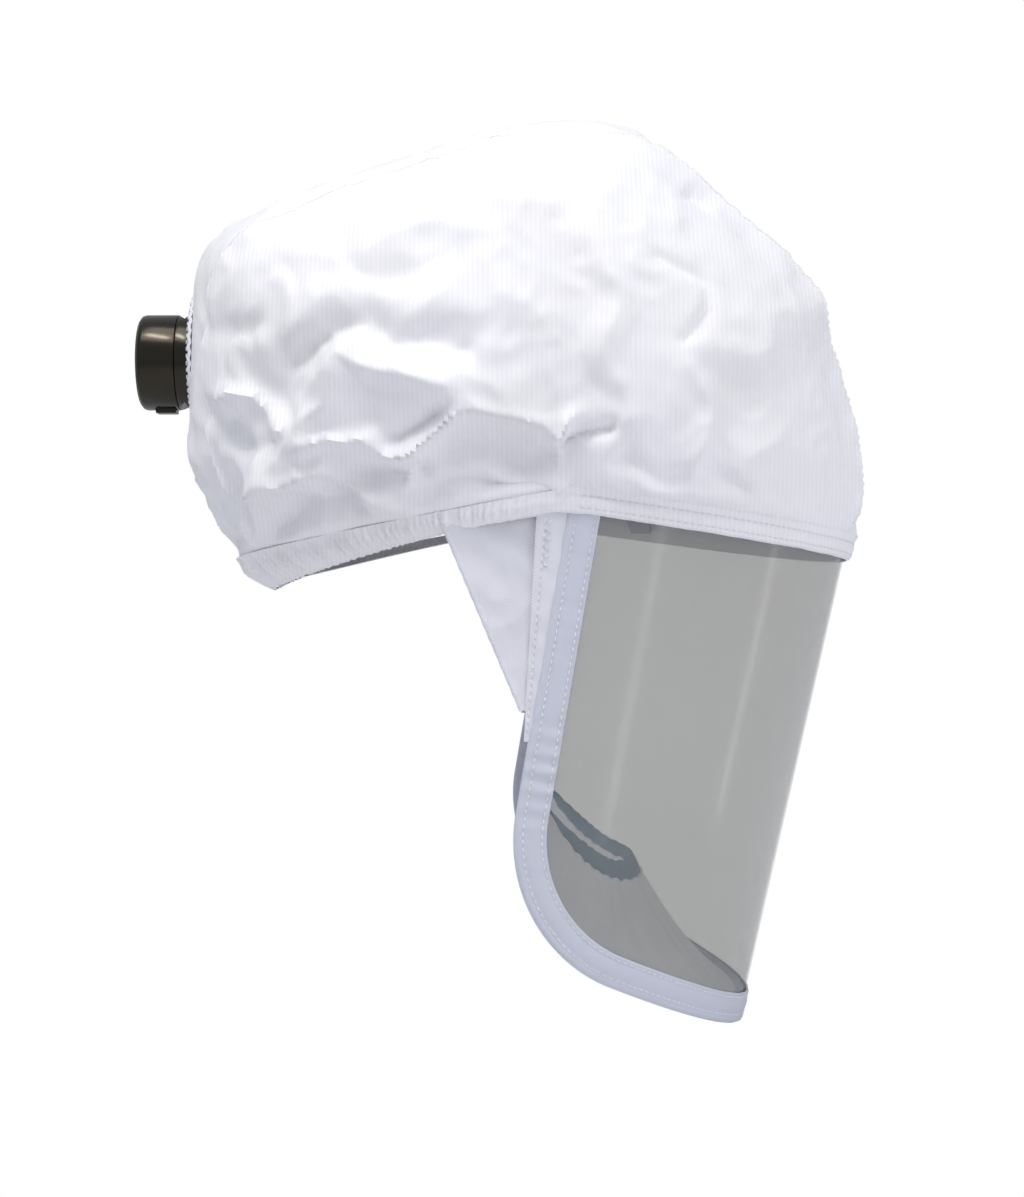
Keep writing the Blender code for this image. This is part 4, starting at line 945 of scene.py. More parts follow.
def moulded(name, colour, roughness, scuff, strength, gleam=(1, 1, 1, 1), scale=900.0):
    """Moulded plastic, rubber or foam."""
    material, shader = new_material(name)
    if shader is None:
        return material
    tree = material.node_tree
    grain = place_group(tree, grain_group(), Scale=scale, Scuff=scuff)
    scuffs = grain.outputs["Scuffs"]
    scuffed = tuple(min(1.0, c * 1.6 + 0.012) for c in colour[:3]) + (1,)
    tree.links.new(mixed(tree, scuffs, colour, scuffed), shader.inputs["Base Color"])
    tree.links.new(spread(tree, scuffs, roughness, roughness + 0.35), shader.inputs["Roughness"])
    add_bump(tree, shader, grain.outputs["Height"], 0.06 * MM, strength)
    # The gleam colours every reflection; a warm gleam is a painted warm reflection colour.
    shader.inputs["Specular Tint"].default_value = gleam
    return material


def steel():
    material = moulded("spring_steel", (0.55, 0.55, 0.56, 1), 0.28, 0.4, 0.15)
    material.node_tree.nodes["Principled BSDF"].inputs["Metallic"].default_value = 1.0
    return material


def lens_film():
    """Clear stiff film with a faint smoke tint, light haze and fine wiping marks."""
    material, shader = new_material("clear_film")
    if shader is None:
        return material
    tree = material.node_tree
    grain = place_group(tree, grain_group(), Scale=250.0, Scuff=0.9)
    scuffs = grain.outputs["Scuffs"]
    haze = mixed(tree, scuffs, (0.30, 0.30, 0.28, 1), (0.42, 0.42, 0.40, 1))
    tree.links.new(haze, shader.inputs["Base Color"])
    tree.links.new(spread(tree, scuffs, 0.10, 0.22), shader.inputs["Roughness"])
    tree.links.new(spread(tree, scuffs, 0.29, 0.38), shader.inputs["Alpha"])
    shader.inputs["IOR"].default_value = 1.5
    return material


def gloss_black():
    """Polished black plastic of the coupling, with a painted warm tint on its reflections in place of a
    warm lamp.
    """
    return moulded("gloss_black", (0.003, 0.003, 0.004, 1), 0.19, 0.1, 0.06, (1.0, 0.88, 0.64, 1))


def smooth_cloth():
    return woven_cloth("smooth_cloth", (0.84, 0.835, 0.88, 1), (0.78, 0.775, 0.82, 1), 0.00022, 0.25)


def tape():
    colour = tuple(settings().binding_colour)
    worn = tuple(c * 0.88 for c in colour[:3]) + (1,)
    return woven_cloth("binding_tape", colour, worn, 0.0003, 0.35)


def thread():
    return woven_cloth("white_thread", (0.86, 0.86, 0.88, 1), (0.8, 0.8, 0.83, 1), 0.0002, 0.4)


def seal_cloth():
    return woven_cloth("seal_cloth", (0.95, 0.95, 0.94, 1), (0.88, 0.88, 0.88, 1), 0.00025, 0.3)


def jaw_knit():
    colour = tuple(settings().elastic_colour)
    worn = tuple(c * 1.4 for c in colour[:3]) + (1,)
    return woven_cloth("jaw_knit", colour, worn, 0.0005, 0.9, 0.85, 0.8)


def white_knit():
    return woven_cloth("white_knit", (0.76, 0.76, 0.76, 1), (0.68, 0.68, 0.69, 1), 0.0006, 0.8, 0.8, 0.6)


# ---------------------------------------------------------------- soft pieces


class HOOD_OT_crown(bpy.types.Operator):
    """Build the folded crown panels and their seams"""

    bl_idname = "hood.crown"
    bl_label = "Crown"

    def execute(self, context):
        grid, shares, turns = crown_grid()
        grid = relax_cloth(grid)
        seam = int(np.argmin(np.abs(shares - CROSS_SEAM)))
        left = int(np.argmin(np.abs(turns + SEAM_TURN)))
        right = int(np.argmin(np.abs(turns - SEAM_TURN)))
        self.panel("crown_side_left", grid[:, :left + 1], (0, 1, 0), 0, "side_panel_left")
        self.panel("crown_side_right", grid[:, right:], (0, -1, 0), 0, "side_panel_right")
        self.panel("crown_front", grid[:seam + 1, left:right + 1], (1, 0, 0), 1, "front_panel")
        self.rear(grid[seam:, left:right + 1], "crown_panel")
        self.seams(grid, seam, left, right)
        return {"FINISHED"}

    def panel(self, name, grid, towards, axis, node):
        piece = cloth_piece(name, grid, CLOTH, towards)
        settle(piece, crown_cloth(axis), "hood", (node,))
        cut_area(grid)

    def rear(self, grid, node):
        """The rear panel, with the hole that the inlet passes through."""
        rows, columns = grid.shape[:2]
        faces = []
        for face in grid_faces(rows, columns):
            middle = grid.reshape(-1, 3)[list(face)].mean(axis=0)
            away = math.hypot(middle[1], middle[2] - INLET_Z)
            if middle[0] > REAR_FACE_X or away > HOLE_RADIUS:
                faces.append(face)
        piece = mesh_object("crown_rear", grid.reshape(-1, 3), faces)
        make_active(piece)
        bpy.ops.object.mode_set(mode="EDIT")
        bpy.ops.mesh.select_all(action="SELECT")
        bpy.ops.mesh.delete_loose()
        bpy.ops.object.mode_set(mode="OBJECT")
        if piece.data.polygons[0].normal.z < 0:
            piece.data.flip_normals()
        apply_modifier(piece, "SOLIDIFY", thickness=CLOTH, offset=0.0)
        smooth(piece, 60)
        settle(piece, crown_cloth(1), "hood", (node,))
        cut_area(grid) - math.pi * (22 * MM) ** 2

    def seams(self, grid, cross, left, right):
        """A rolled seam along each join of the panels; their stitches, on the inside, are not built."""
        normals = surface_normals(grid)
        if normals[len(grid) // 2, grid.shape[1] // 2, 2] < 0:
            normals = -normals
        lines = {
            "seam_left": (grid[4:-3, left], normals[4:-3, left]),
            "seam_right": (grid[4:-3, right], normals[4:-3, right]),
            "seam_cross": (grid[cross, left:right + 1], normals[cross, left:right + 1]),
        }
        for label, (line, out) in lines.items():
            rolled = roll(f"crown_{label}", line, out, 0.9 * MM)
            settle(rolled, crown_cloth(0), "hood")


class HOOD_OT_brow_hem(bpy.types.Operator):
    """Build the double-stitched hem over the lens"""

    bl_idname = "hood.brow_hem"
    bl_label = "Brow hem"

    # Round the hem: share of its height and distance off the lens in millimetres
    SECTION = (
        (0.0, 1.9), (0.05, 3.2), (0.16, 3.75), (0.24, 3.35), (0.32, 3.7), (0.5, 4.1),
        (0.62, 3.75), (0.72, 3.25), (0.8, 3.7), (0.95, 4.3), (1.09, 4.7), (1.13, 4.2),
        (0.98, 3.2), (0.9, 1.6), (0.5, 1.5), (0.1, 1.5),
    )

    def execute(self, context):
        turns = np.linspace(-1, 1, 420)
        behind = np.zeros(len(turns))
        behind[:8] = np.linspace(9, 0, 8) * MM
        behind[-8:] = np.linspace(0, 9, 8) * MM
        flat = lens_point(turns, brow_z(turns))
        ripple = 0.35 * MM * rough(flat, 95, 5) + 0.25 * MM * rough(flat, 240, 6)
        rings = []
        for share, offset in self.SECTION:
            z = brow_z(turns, share * HEM_HEIGHT) + ripple * (0.6 if share < 0.1 else 0.2)
            weight = 1.0 if offset > 2.5 else 0.1
            ring = lens_point(turns, z, offset * MM + ripple * weight)
            ring[:, 0] -= behind
            rings.append(ring)
        piece = tube_piece("brow_hem_cloth", np.stack(rings, axis=1), 70)
        settle(piece, crown_cloth(0), "hood", ("brow_hem",))
        for label, share in (("lower", 0.24), ("upper", 0.72)):
            line = lens_point(turns[3:-3], brow_z(turns[3:-3], share * HEM_HEIGHT),
                              3.45 * MM + ripple[3:-3])
            out = np.array([lens_normal(p) for p in line])
            stitch_row(f"brow_{label}_stitches", line, out, thread(), "hood")
        return {"FINISHED"}


class HOOD_OT_rear_hem(bpy.types.Operator):
    """Build the gathered elastic casing round the nape"""

    bl_idname = "hood.rear_hem"
    bl_label = "Rear hem"

    # Round the casing: share of its height, inset in millimetres and how much it gathers
    SECTION = (
        (1.06, -0.2, 0.0), (1.05, -1.0, 0.1), (0.86, -1.1, 0.45), (0.7, -1.6, 0.8),
        (0.55, -2.1, 1.1), (0.4, -2.0, 1.1), (0.25, -1.4, 0.8), (0.1, -0.6, 0.5), (0.0, 0.6, 0.35),
        (-0.02, 1.8, 0.3), (0.15, 2.2, 0.6), (0.5, 2.6, 0.8), (0.85, 2.2, 0.4), (1.0, 1.2, 0.1),
    )

    def execute(self, context):
        places = np.linspace(0, 1, 760)
        ahead, beside = oval(1 - 2 * places)
        pole = crown_pole()
        nape = profile_points(np.array([1.0]))[0]
        high = np.stack([pole[0] - 1 * MM + (nape[0] - pole[0]) * ahead,
                         pole[1] - 0.3 * MM + (nape[1] - pole[1]) * ahead], axis=-1)
        low = np.stack([pole[0] - 6 * MM - 129 * MM * ahead, -19 * MM - 30 * MM * ahead ** 1.4], axis=-1)
        length = places * 0.44
        seed = np.stack([length * 9, 0 * length, 0 * length], axis=-1)
        gather = np.sin(length * 1250 + 9 * rough(seed, 9, 4)) * (0.6 + 0.9 * rough(seed, 14, 8))
        gather = gather + 0.5 * np.sin(length * 2100 + 6 * rough(seed, 13, 21))
        low[:, 1] += 8.5 * MM * np.clip(beside, 0, 1) * np.minimum(1, 3 * ahead)
        low[:, 1] -= 1.2 * MM * np.clip(-beside, 0, 1) * ahead
        soft = np.clip(np.minimum(places, 1 - places) / 0.06, 0, 1)
        rings = []
        for share, inset, weight in self.SECTION:
            centre = low + (high - low) * 0.93 * share
            swell = inset * MM - gather * 1.5 * MM * weight * soft
            half = LENS_HALF_WIDTH + HEM_OUTER - 3.2 * MM * (1 - share) - swell
            drop = gather * 0.25 * MM * soft * (1 - share)
            ring = [centre[:, 0] + swell * ahead, half * beside, centre[:, 1] + drop]
            rings.append(np.stack(ring, axis=-1))
        piece = tube_piece("rear_casing", np.stack(rings, axis=1), 80)
        settle(piece, crown_cloth(0), "hood", ("rear_hem",))
        return {"FINISHED"}


class HOOD_OT_lens(bpy.types.Operator):
    """Build the curved clear lens"""

    bl_idname = "hood.lens"
    bl_label = "Lens"

    def execute(self, context):
        edge = even_points(visor_edge(BINDING_COVER - 1 * MM, BROW_SIDE_Z + 6 * MM), 321)
        turns = np.array([turn_of(p) for p in edge])
        ends = np.linspace(turns[0], turns[-1], len(turns))
        rows = 60
        grid = np.empty((rows + 1, len(turns), 3))
        for i in range(rows + 1):
            share = i / rows
            turn = turns + (ends - turns) * share
            top = brow_z(ends, HEM_HEIGHT * 0.9)
            z = edge[:, 2] + (top - edge[:, 2]) * share
            grid[i] = lens_point(turn, z)
        piece = cloth_piece("lens_film", grid, LENS_THICKNESS * 0.8, (1, 0, 0))
        settle(piece, lens_film(), "hood", ("lens",))
        return {"FINISHED"}


class HOOD_OT_binding(bpy.types.Operator):
    """Build the stitched tape round the lens's edge"""

    bl_idname = "hood.binding"
    bl_label = "Lens binding"

    # Across the tape in millimetres: inwards from the lens's edge and off the lens
    OUTSIDE = [
        (12.0, 0.7), (12.1, 1.5), (11.3, 1.9), (10.2, 1.5), (9.0, 1.9), (6.0, 2.2),
        (3.6, 1.9), (2.4, 1.5), (1.0, 1.9), (-0.8, 1.6), (-1.5, 0.6),
    ]
    SLOT = [(6.0, -0.6), (0.2, -0.6), (0.2, 0.6), (6.0, 0.6)]

    def execute(self, context):
        route = even_points(visor_edge(BINDING_COVER, BROW_SIDE_Z + 5 * MM), 700)
        normal = np.array([lens_normal(p) for p in route])
        ahead = np.gradient(route, axis=0)
        inward = np.cross(normal, ahead)
        inward /= np.linalg.norm(inward, axis=1, keepdims=True)
        if (inward[0] * (route[350] - route[0])).sum() < 0:
            inward = -inward
        waist = np.exp(-((route[:, 2] + 125 * MM) / (16 * MM)) ** 2)
        ruffle = 0.28 * MM * rough(route, 110, 3) + 0.2 * MM * rough(route, 260, 9)
        ruffle = ruffle + 0.5 * MM * waist * np.sin(np.arange(700) * 0.8)
        inside = [(across, -out) for across, out in reversed(self.OUTSIDE)]
        section = np.array(self.OUTSIDE + inside + self.SLOT) * MM
        piece = tube_piece("binding_tape", band_rings(route, inward, normal, section, ruffle), 75)
        settle(piece, tape(), "hood", ("lens_binding",))
        for label, across in (("inner", 10.2), ("outer", 2.4)):
            line = route + inward * across * MM + normal * (1.6 * MM + ruffle)[:, None]
            stitch_row(f"binding_{label}_stitches", line, normal, thread(), "hood")
        return {"FINISHED"}


class HOOD_OT_cheeks(bpy.types.Operator):
    """Build the smooth cheek panels, seam strips and bar tacks"""

    bl_idname = "hood.cheeks"
    bl_label = "Cheek panels"

    def execute(self, context):
        for side, label in ((-1, "right"), (1, "left")):
            self.cheek(side, label)
            self.strip(side, label)
        return {"FINISHED"}

    def rear_x(self, z):
        """Rear edge of the lens binding in the side view."""
        start = lens_centre_x(BROW_SIDE_Z) + REAR_EDGE_SETBACK
        start -= BINDING_WIDTH * math.cos(REAR_EDGE_LEAN)
        height = z - BROW_SIDE_Z - BINDING_WIDTH * math.sin(REAR_EDGE_LEAN)
        return start + height * math.tan(REAR_EDGE_LEAN)

    def cheek(self, side, label):
        top = -10 * MM
        foot = BROW_FRONT_Z - CHEEK_REACH * LENS_DROP
        columns = 40
        grid = []
        for z in np.linspace(foot, top, 90):
            share = (z - foot) / (top - foot)
            front = self.rear_x(z) - 3 * MM - 5 * MM * share
            rear = front - 1.5 * MM - 48 * MM * share
            x = np.linspace(rear, front, columns)
            y = np.full(columns, CHEEK_Y - 2.2 * MM * share ** 2)
            y = y - 2.5 * MM * np.sin(math.pi * np.linspace(0, 1, columns)) * share
            y = y + 0.8 * MM * np.sin(x * 190 + z * 330) * np.linspace(1, 0.3, columns) * share
            grid.append(np.stack([x, y, np.full(columns, z)], axis=-1))
        grid = np.array(grid)
        grid[..., 1] += 0.45 * MM * rough(grid * (1, 1, 0.6), 90, 12, ridged=True)
        grid[..., 1] *= side
        piece = cloth_piece(f"cheek_{label}", grid, CLOTH, (0, side, 0))
        settle(piece, smooth_cloth(), "hood", (f"cheek_panel_{label}",))
        cut_area(grid)
        out = np.tile((0.0, side, 0.0), (len(grid), 1))
        hem = roll(f"cheek_edge_{label}", grid[:, 0], out, 1.1 * MM, 0.75)
        settle(hem, smooth_cloth(), "hood")

    def strip(self, side, label):
        top = -12 * MM
        foot = BROW_FRONT_Z - STRIP_REACH * LENS_DROP
        grid = []
        columns = 16
        for z in np.linspace(foot, top, 120):
            share = (z - foot) / (top - foot)
            front = self.rear_x(z) + 1.5 * MM
            x = np.linspace(front - 3 * MM - 11.5 * MM * share, front, columns)
            bulge = 1.1 * MM * np.sin(math.pi * np.linspace(0, 1, columns)) ** 0.6
            y = CHEEK_Y + 1.2 * MM + bulge * (0.4 + 0.6 * share) + 0 * x
            grid.append(np.stack([x, y, np.full(columns, z)], axis=-1))
        grid = np.array(grid)
        grid[..., 1] += 0.5 * MM * rough(grid * (1, 1, 0.8), 170, 13)
        grid[..., 1] *= side
        piece = cloth_piece(f"strip_{label}", grid, CLOTH, (0, side, 0))
        settle(piece, smooth_cloth(), "hood", (f"side_strip_{label}",))
        cut_area(grid)
        out = np.tile((0.0, side, 0.0), (len(grid), 1))
        line = grid[4:-10, 4] + out[4:-10] * 0.5 * MM
        stitch_row(f"strip_stitches_{label}", line, out[4:-10], thread(), "hood")
        tack = line[-26:] + np.array([1.5 * MM, 0.3 * side * MM, 0])
        stitch_row(f"bar_tack_{label}", tack, out[:26], thread(), "hood",
                   0.7 * MM, zigzag=0.5)


class HOOD_OT_face_seal(bpy.types.Operator):
    """Build the pleated bib inside the lens and its knitted jaw band"""

    bl_idname = "hood.face_seal"
    bl_label = "Face seal"

    # Round the jaw band in millimetres: onwards from the bib's edge and up
    BAND = (
        (0.8, -0.6), (0.8, 0.9), (2.5, 1.5), (4.5, 1.7), (6.6, 1.1), (7.3, 0.0), (6.6, -1.0),
        (4.5, -1.2), (2.5, -1.1),
    )

    def execute(self, context):
        top = BROW_FRONT_Z - SEAL_START * LENS_DROP
        edge = even_points(visor_edge(2 * MM, top), 361)
        outer = np.array([p - np.array(lens_normal(p)) * 3.9 * MM for p in edge])
        turn = np.linspace(-1, 1, len(outer))
        angle = turn * math.radians(86)
        jaw_z = BROW_FRONT_Z - JAW_REACH * LENS_DROP
        inner = np.stack([LENS_CENTRE_X - 11 * MM + 52 * MM * np.cos(angle),
                          0.75 * LENS_HALF_WIDTH * np.sin(angle), jaw_z + 45 * MM * turn ** 4], axis=-1)
        pleats = np.sin(turn * 78 + 3.2 * np.sin(turn * 9)) * (0.75 + 0.25 * np.sin(turn * 23))
        rows = []
        for v in np.linspace(0, 1, 26):
            line = outer + (inner - outer) * v
            line[:, 2] += -6 * MM * math.sin(math.pi * v) + pleats * 2.2 * MM * v * (1.1 - 0.8 * v)
            rows.append(line)
        grid = np.array(rows)
        piece = cloth_piece("seal_bib", grid, 0.6 * MM, (0, 0, 1))
        settle(piece, seal_cloth(), "hood", ("face_seal",))
        cut_area(grid)
        out = np.tile((0.0, 0.0, 1.0), (len(inner), 1))
        lip = roll("seal_lip", grid[-1][4:-4], out[4:-4], 1.0 * MM)
        settle(lip, seal_cloth(), "hood")
        self.band(outer, inner, pleats)
        return {"FINISHED"}

    def band(self, outer, inner, pleats):
        """A soft knitted band, stretched along the bib's inner edge."""
        towards = inner - outer
        towards /= np.linalg.norm(towards, axis=1, keepdims=True)
        rings = []
        for along, lift in self.BAND:
            line = inner + towards * along * MM
            line[:, 2] += (along * 0.45 + lift) * MM + pleats * 0.4 * MM
            rings.append(line)
        piece = tube_piece("seal_band", np.stack(rings, axis=1), 80)
        settle(piece, jaw_knit(), "hood", ("face_seal_elastic",))


# ---------------------------------------------------------------- inlet and suspension


class HOOD_OT_inlet(bpy.types.Operator):
    """Build the air inlet, its swivel collar and the sewn patch"""

    bl_idname = "hood.inlet"
    bl_label = "Air inlet"

    # Round the gathered patch in millimetres: radius and rise off the crown
    PATCH = (
        (19.6, -1.0), (19.6, -0.3), (24, 0.5), (28, 0.3), (29.5, -0.2), (31, 0.4), (32.4, 0.1),
        (32.4, -1.2), (28, -1.4), (22, -1.4),
    )

    def execute(self, context):
        black = gloss_black()
        self.body(black)
        self.collar(black)
        self.patch()
        return {"FINISHED"}

    def body(self, black):
        top = BASE_LENGTH + GAP + COLLAR_LENGTH - 1.6 * MM
        profile = [(SPIGOT_RADIUS, top), (SPIGOT_RADIUS, 20 * MM), (15.6 * MM, 20 * MM),
                   (15.6 * MM, 19 * MM), (SPIGOT_RADIUS, 19 * MM), (SPIGOT_RADIUS, BASE_LENGTH),
                   (COLLAR_RADIUS, BASE_LENGTH), (COLLAR_RADIUS, 1.3 * MM), (19 * MM, 1.3 * MM),
                   (19 * MM, -9.0 * MM), (16 * MM, -9.0 * MM), (16 * MM, -24.5 * MM),
                   (BORE_RADIUS, -24.5 * MM), (BORE_RADIUS, top)]
        piece = turned_piece("inlet_base", profile)
        for side in (-1, 1):
            self.notch(piece, side)
        smooth(piece, 40)
        settle(piece, black, "hood", ("inlet_body",))

    def notch(self, piece, side):
        """A ramp that deepens rearwards and ends at an upright wall against the collar."""
        centre = (INLET_X - BASE_LENGTH + 1.6 * MM, 0.0, INLET_Z + side * (COLLAR_RADIUS + 0.4 * MM))
        block_cut(piece, (6.2 * MM, 30 * MM, 3.4 * MM), centre, side * math.radians(33))

    def collar(self, black):
        low = BASE_LENGTH + GAP
        top = low + COLLAR_LENGTH
        chamfer = 2.2 * MM
        lip = low + 12 * MM
        inner = SPIGOT_RADIUS + 0.5 * MM
        bore = SPIGOT_RADIUS + 2.3 * MM
        profile = [(COLLAR_RADIUS - chamfer, top), (COLLAR_RADIUS - 0.5 * MM, top - chamfer + 0.9 * MM),
                   (COLLAR_RADIUS, top - chamfer - 0.8 * MM), (COLLAR_RADIUS, low),
                   (inner, low), (inner, lip), (bore, lip), (bore, top)]
        piece = turned_piece("collar_sleeve", profile)
        middle = low + 1.3 * MM + 4.7 * MM
        block_cut(piece, (10 * MM, 9.6 * MM, 7 * MM), (INLET_X - middle, 0.0, INLET_Z - COLLAR_RADIUS))
        smooth(piece, 40)
        settle(piece, black, "collar", ("swivel_collar",))

    def patch(self):
        """The reinforcing patch, puckered between the inlet and its ring of stitches."""
        turns = np.linspace(0, 2 * math.pi, 181)
        rings = []
        for radius, rise in self.PATCH:
            pucker = 0.35 * MM * np.sin(turns * 40) * (radius / 32.0)
            ring = self.ring(INLET_X + 0.6 * MM - rise * MM - pucker, radius * MM, turns)
            rings.append(ring[:-1])
        rings = np.stack(rings, axis=1)
        faces = grid_faces(*rings.shape[:2], round_rows=True, round_columns=True)
        piece = mesh_object("inlet_patch_cloth", rings.reshape(-1, 3), faces)
        face_outwards(piece)
        smooth(piece, 70)
        settle(piece, smooth_cloth(), "hood", ("inlet_patch",))
        line = self.ring(INLET_X - 0.2 * MM + 0 * turns, 29.5 * MM, turns)
        out = np.tile((-1.0, 0.0, 0.0), (len(turns), 1))
        stitch_row("patch_stitches", line, out, thread(), "hood")

    def ring(self, x, radius, turns):
        """Points at angles round the inlet's axis."""
        return np.stack([x, radius * np.cos(turns), INLET_Z + radius * np.sin(turns)], axis=-1)


def node_copy(node, name):
    """A merged copy of a CAD node's mesh, as a piece of its own."""
    mesh = NODES[node].data.copy()
    mesh.name = name
    piece = bpy.data.objects.new(name, mesh)
    bpy.context.scene.collection.objects.link(piece)
    face_outwards(piece)
    return piece


class HOOD_OT_pads(bpy.types.Operator):
    """Build the padded brow and nape pads and the woven straps"""

    bl_idname = "hood.pads"
    bl_label = "Pads and straps"

    def execute(self, context):
        self.pad("brow_cushion", "brow_pad", "hood")
        self.pad("nape_cushion", "nape_pad", "cradle")
        for node, name in (("strap_fore_aft", "fore_aft_webbing"), ("strap_cross", "cross_webbing")):
            piece = self.soft_copy(node, name)
            settle(piece, white_knit(), "hood", (node,))
        return {"FINISHED"}

    def soft_copy(self, node, name):
        """A copy of a CAD piece with its flat facets joined and its edges rounded."""
        piece = node_copy(node, name)
        bpy.ops.object.mode_set(mode="EDIT")
        bpy.ops.mesh.select_all(action="SELECT")
        bpy.ops.mesh.dissolve_limited(angle_limit=math.radians(3))
        bpy.ops.object.mode_set(mode="OBJECT")
        round_edges(piece, 0.4 * MM, 40)
        smooth(piece, 50)
        return piece

    def pad(self, name, node, body):
        """Foam of the CAD pad's shape with rounded edges."""
        piece = self.soft_copy(node, name)
        settle(piece, moulded("black_foam", (0.035, 0.035, 0.038, 1), 0.9, 0.2, 1.0, scale=500.0),
               body, (node,))


class HOOD_OT_frame_parts(bpy.types.Operator):
    """Give the moulded and metal CAD pieces their finishes"""

    bl_idname = "hood.frame_parts"
    bl_label = "Moulded parts"

    def execute(self, context):
        black = moulded("satin_black", (0.015, 0.015, 0.017, 1), 0.32, 0.35, 0.12)
        dark = moulded("dark_grey_moulded", (0.055, 0.056, 0.06, 1), 0.45, 0.4, 0.35)
        grey = moulded("grey_moulded", (0.30, 0.31, 0.33, 1), 0.42, 0.35, 0.3)
        rubber = moulded("black_rubber", (0.02, 0.02, 0.02, 1), 0.7, 0.3, 0.6)
        finishes = {
            "black_plastic": black, "dark_grey_plastic": dark, "grey_plastic": grey,
            "black_rubber": rubber, "spring_steel": steel(), "white_elastic": white_knit(),
        }
        special = {
            "visor_frame": moulded("pale_moulded", (0.84, 0.84, 0.82, 1), 0.5, 0.3, 0.2),
            "release_button": gloss_black(),
        }
        for entry in frame["record"]["subparts"]:
            finish = special.get(entry["node"], finishes.get(entry["material_slot"]))
            if finish is None:
                continue
            for slot in NODES[entry["node"]].material_slots:
                slot.material = finish
        elastic = node_copy("rear_elastic", "nape_elastic")
        smooth(elastic, 50)
        settle(elastic, white_knit(), "hood", ("rear_elastic",))
        return {"FINISHED"}


# ---------------------------------------------------------------- stage


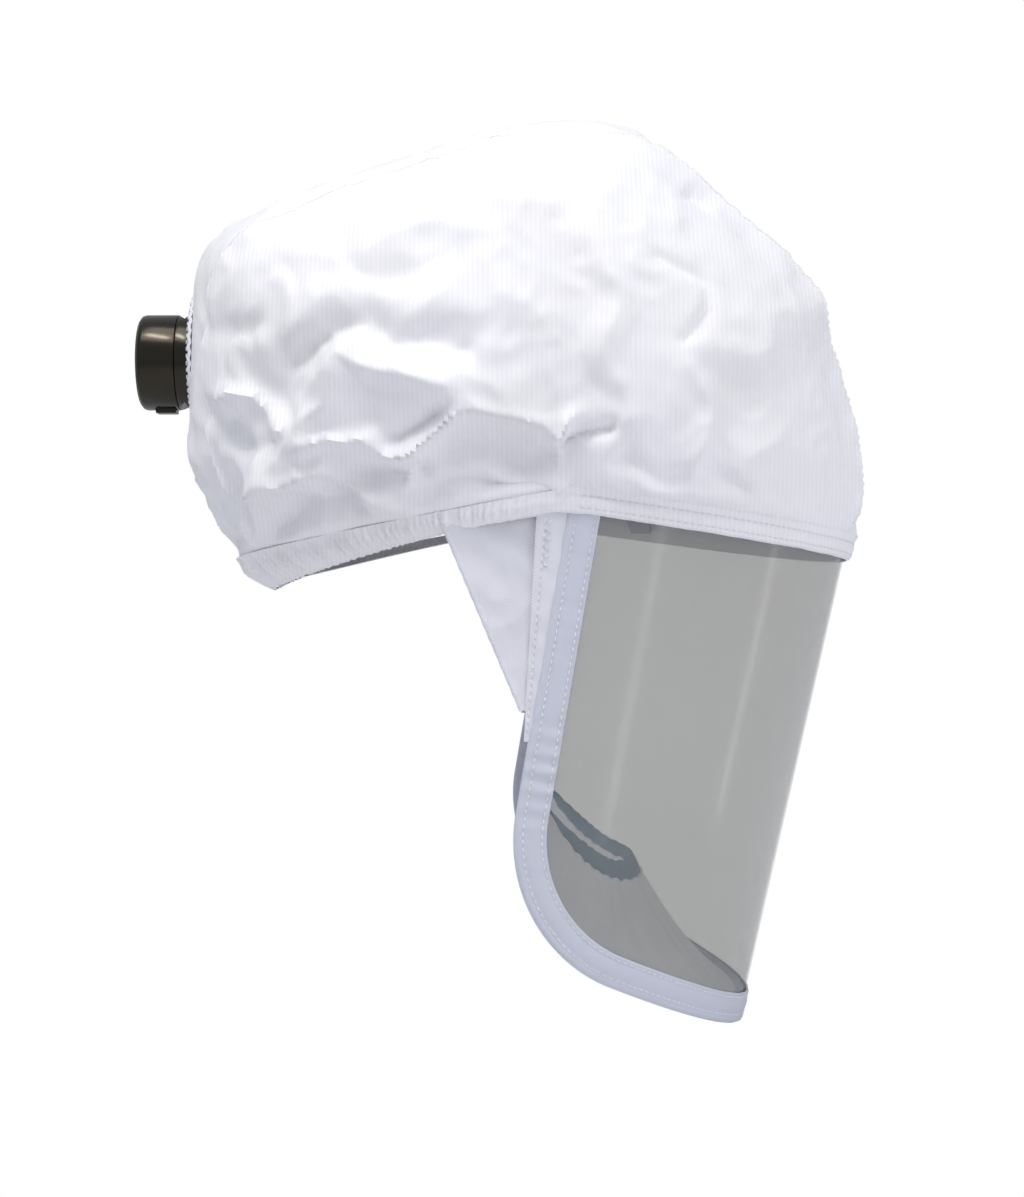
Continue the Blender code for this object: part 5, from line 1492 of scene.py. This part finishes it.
class HOOD_OT_stage(bpy.types.Operator):
    """Build the pale floor, the soft lights and the camera"""

    bl_idname = "hood.stage"
    bl_label = "Stage"

    def execute(self, context):
        studio = context.scene.studio_settings
        self.floor(context)
        self.sky(context, studio.sky_strength)
        self.light("key", (-0.2, -0.5, 1.15), 0.9, 0.8, studio.key_power, (1.0, 0.99, 0.975))
        self.light("fill", (0.9, -0.7, 0.5), 0.9, 0.9, 2.3, (0.97, 0.97, 1.0))
        self.light("front_strip", (0.46, -0.13, -0.14), 0.03, 0.42, 0.12, (1.0, 1.0, 1.0))
        self.light("side_strip", (0.28, -0.50, -0.13), 0.03, 0.42, 0.12, (1.0, 1.0, 1.0))
        self.light("rear_strip", (-0.276, -0.376, 0.716), 0.3, 0.06, 1.5, (1.0, 0.99, 0.97))
        camera = bpy.data.cameras.new("camera")
        camera.sensor_width = 36.0
        camera.sensor_fit = "AUTO"
        camera.lens = 65.4 * studio.camera_distance
        camera.clip_start = 0.01
        viewer = bpy.data.objects.new("camera", camera)
        context.scene.collection.objects.link(viewer)
        viewer.location = (5 * MM, -studio.camera_distance, studio.camera_height)
        viewer.rotation_euler = (QUARTER, 0.0, 0.0)
        context.scene.camera = viewer
        context.scene.view_settings.view_transform = "Standard"
        context.scene.view_settings.look = "None"
        return {"FINISHED"}

    def floor(self, context):
        low = CAD_BOX[0][2]
        bpy.ops.object.select_all(action="DESELECT")
        bpy.ops.mesh.primitive_plane_add(size=12.0, location=(0.0, 0.0, low - 6 * MM))
        floor = context.object
        floor.name = "floor"
        material, shader = new_material("pale_floor")
        shader.inputs["Base Color"].default_value = (0.82, 0.82, 0.85, 1)
        shader.inputs["Roughness"].default_value = 0.9
        self.white_to_camera(material.node_tree, shader, "ShaderNodeEmission", "Material Output")
        floor.data.materials.append(material)

    def sky(self, context, strength):
        """Even light with a cool tint; straight from the camera it is plain white."""
        world = bpy.data.worlds.new("studio")
        context.scene.world = world
        world.use_nodes = True
        even = world.node_tree.nodes["Background"]
        even.inputs["Color"].default_value = (0.88, 0.92, 1.0, 1)
        even.inputs["Strength"].default_value = strength
        self.white_to_camera(world.node_tree, even, "ShaderNodeBackground", "World Output")

    def white_to_camera(self, tree, shader, plain_type, output):
        """Shows plain white straight from the camera and the shader to all other light."""
        plain = tree.nodes.new(plain_type)
        plain.inputs["Color"].default_value = (1, 1, 1, 1)
        path = tree.nodes.new("ShaderNodeLightPath")
        mix = tree.nodes.new("ShaderNodeMixShader")
        tree.links.new(path.outputs["Is Camera Ray"], mix.inputs["Fac"])
        tree.links.new(shader.outputs[0], mix.inputs[1])
        tree.links.new(plain.outputs[0], mix.inputs[2])
        tree.links.new(mix.outputs["Shader"], tree.nodes[output].inputs["Surface"])

    def light(self, name, place, width, height, power, colour):
        """A rectangular soft light that faces the hood."""
        lamp = bpy.data.lights.new(name, "AREA")
        lamp.shape = "RECTANGLE"
        lamp.size = width
        lamp.size_y = height
        lamp.energy = power
        lamp.color = colour
        source = bpy.data.objects.new(name, lamp)
        bpy.context.scene.collection.objects.link(source)
        source.location = place
        source.visible_camera = False
        source.rotation_euler = (-Vector(place)).to_track_quat("-Z", "Y").to_euler()


# ---------------------------------------------------------------- panel and main


STEPS = (
    HOOD_OT_stage, HOOD_OT_crown, HOOD_OT_brow_hem, HOOD_OT_rear_hem, HOOD_OT_lens, HOOD_OT_binding,
    HOOD_OT_cheeks, HOOD_OT_face_seal, HOOD_OT_inlet, HOOD_OT_pads, HOOD_OT_frame_parts,
)


class HOOD_PT_panel(bpy.types.Panel):
    """Lists the hood's settings and building steps"""

    bl_idname = "HOOD_PT_panel"
    bl_label = "Respirator Hood"
    bl_space_type = "VIEW_3D"
    bl_region_type = "UI"
    bl_category = "Respirator Hood"

    def draw(self, context):
        layout = self.layout
        for group in (context.scene.hood_settings, context.scene.studio_settings):
            for name in group.__annotations__:
                layout.prop(group, name)
        for step in STEPS:
            layout.operator(step.bl_idname)


CLASSES = (HoodSettings, StudioSettings, *STEPS, HOOD_PT_panel)


def register():
    for item in CLASSES:
        bpy.utils.register_class(item)
    bpy.types.Scene.hood_settings = bpy.props.PointerProperty(type=HoodSettings)
    bpy.types.Scene.studio_settings = bpy.props.PointerProperty(type=StudioSettings)


def unregister():
    del bpy.types.Scene.hood_settings
    del bpy.types.Scene.studio_settings
    for item in reversed(CLASSES):
        bpy.utils.unregister_class(item)


def main():
    register()
    bpy.ops.hood.stage()
    bpy.ops.hood.crown()
    bpy.ops.hood.brow_hem()
    bpy.ops.hood.rear_hem()
    bpy.ops.hood.lens()
    bpy.ops.hood.binding()
    bpy.ops.hood.cheeks()
    bpy.ops.hood.face_seal()
    bpy.ops.hood.inlet()
    bpy.ops.hood.pads()
    bpy.ops.hood.frame_parts()


if __name__ == "__main__":
    main()
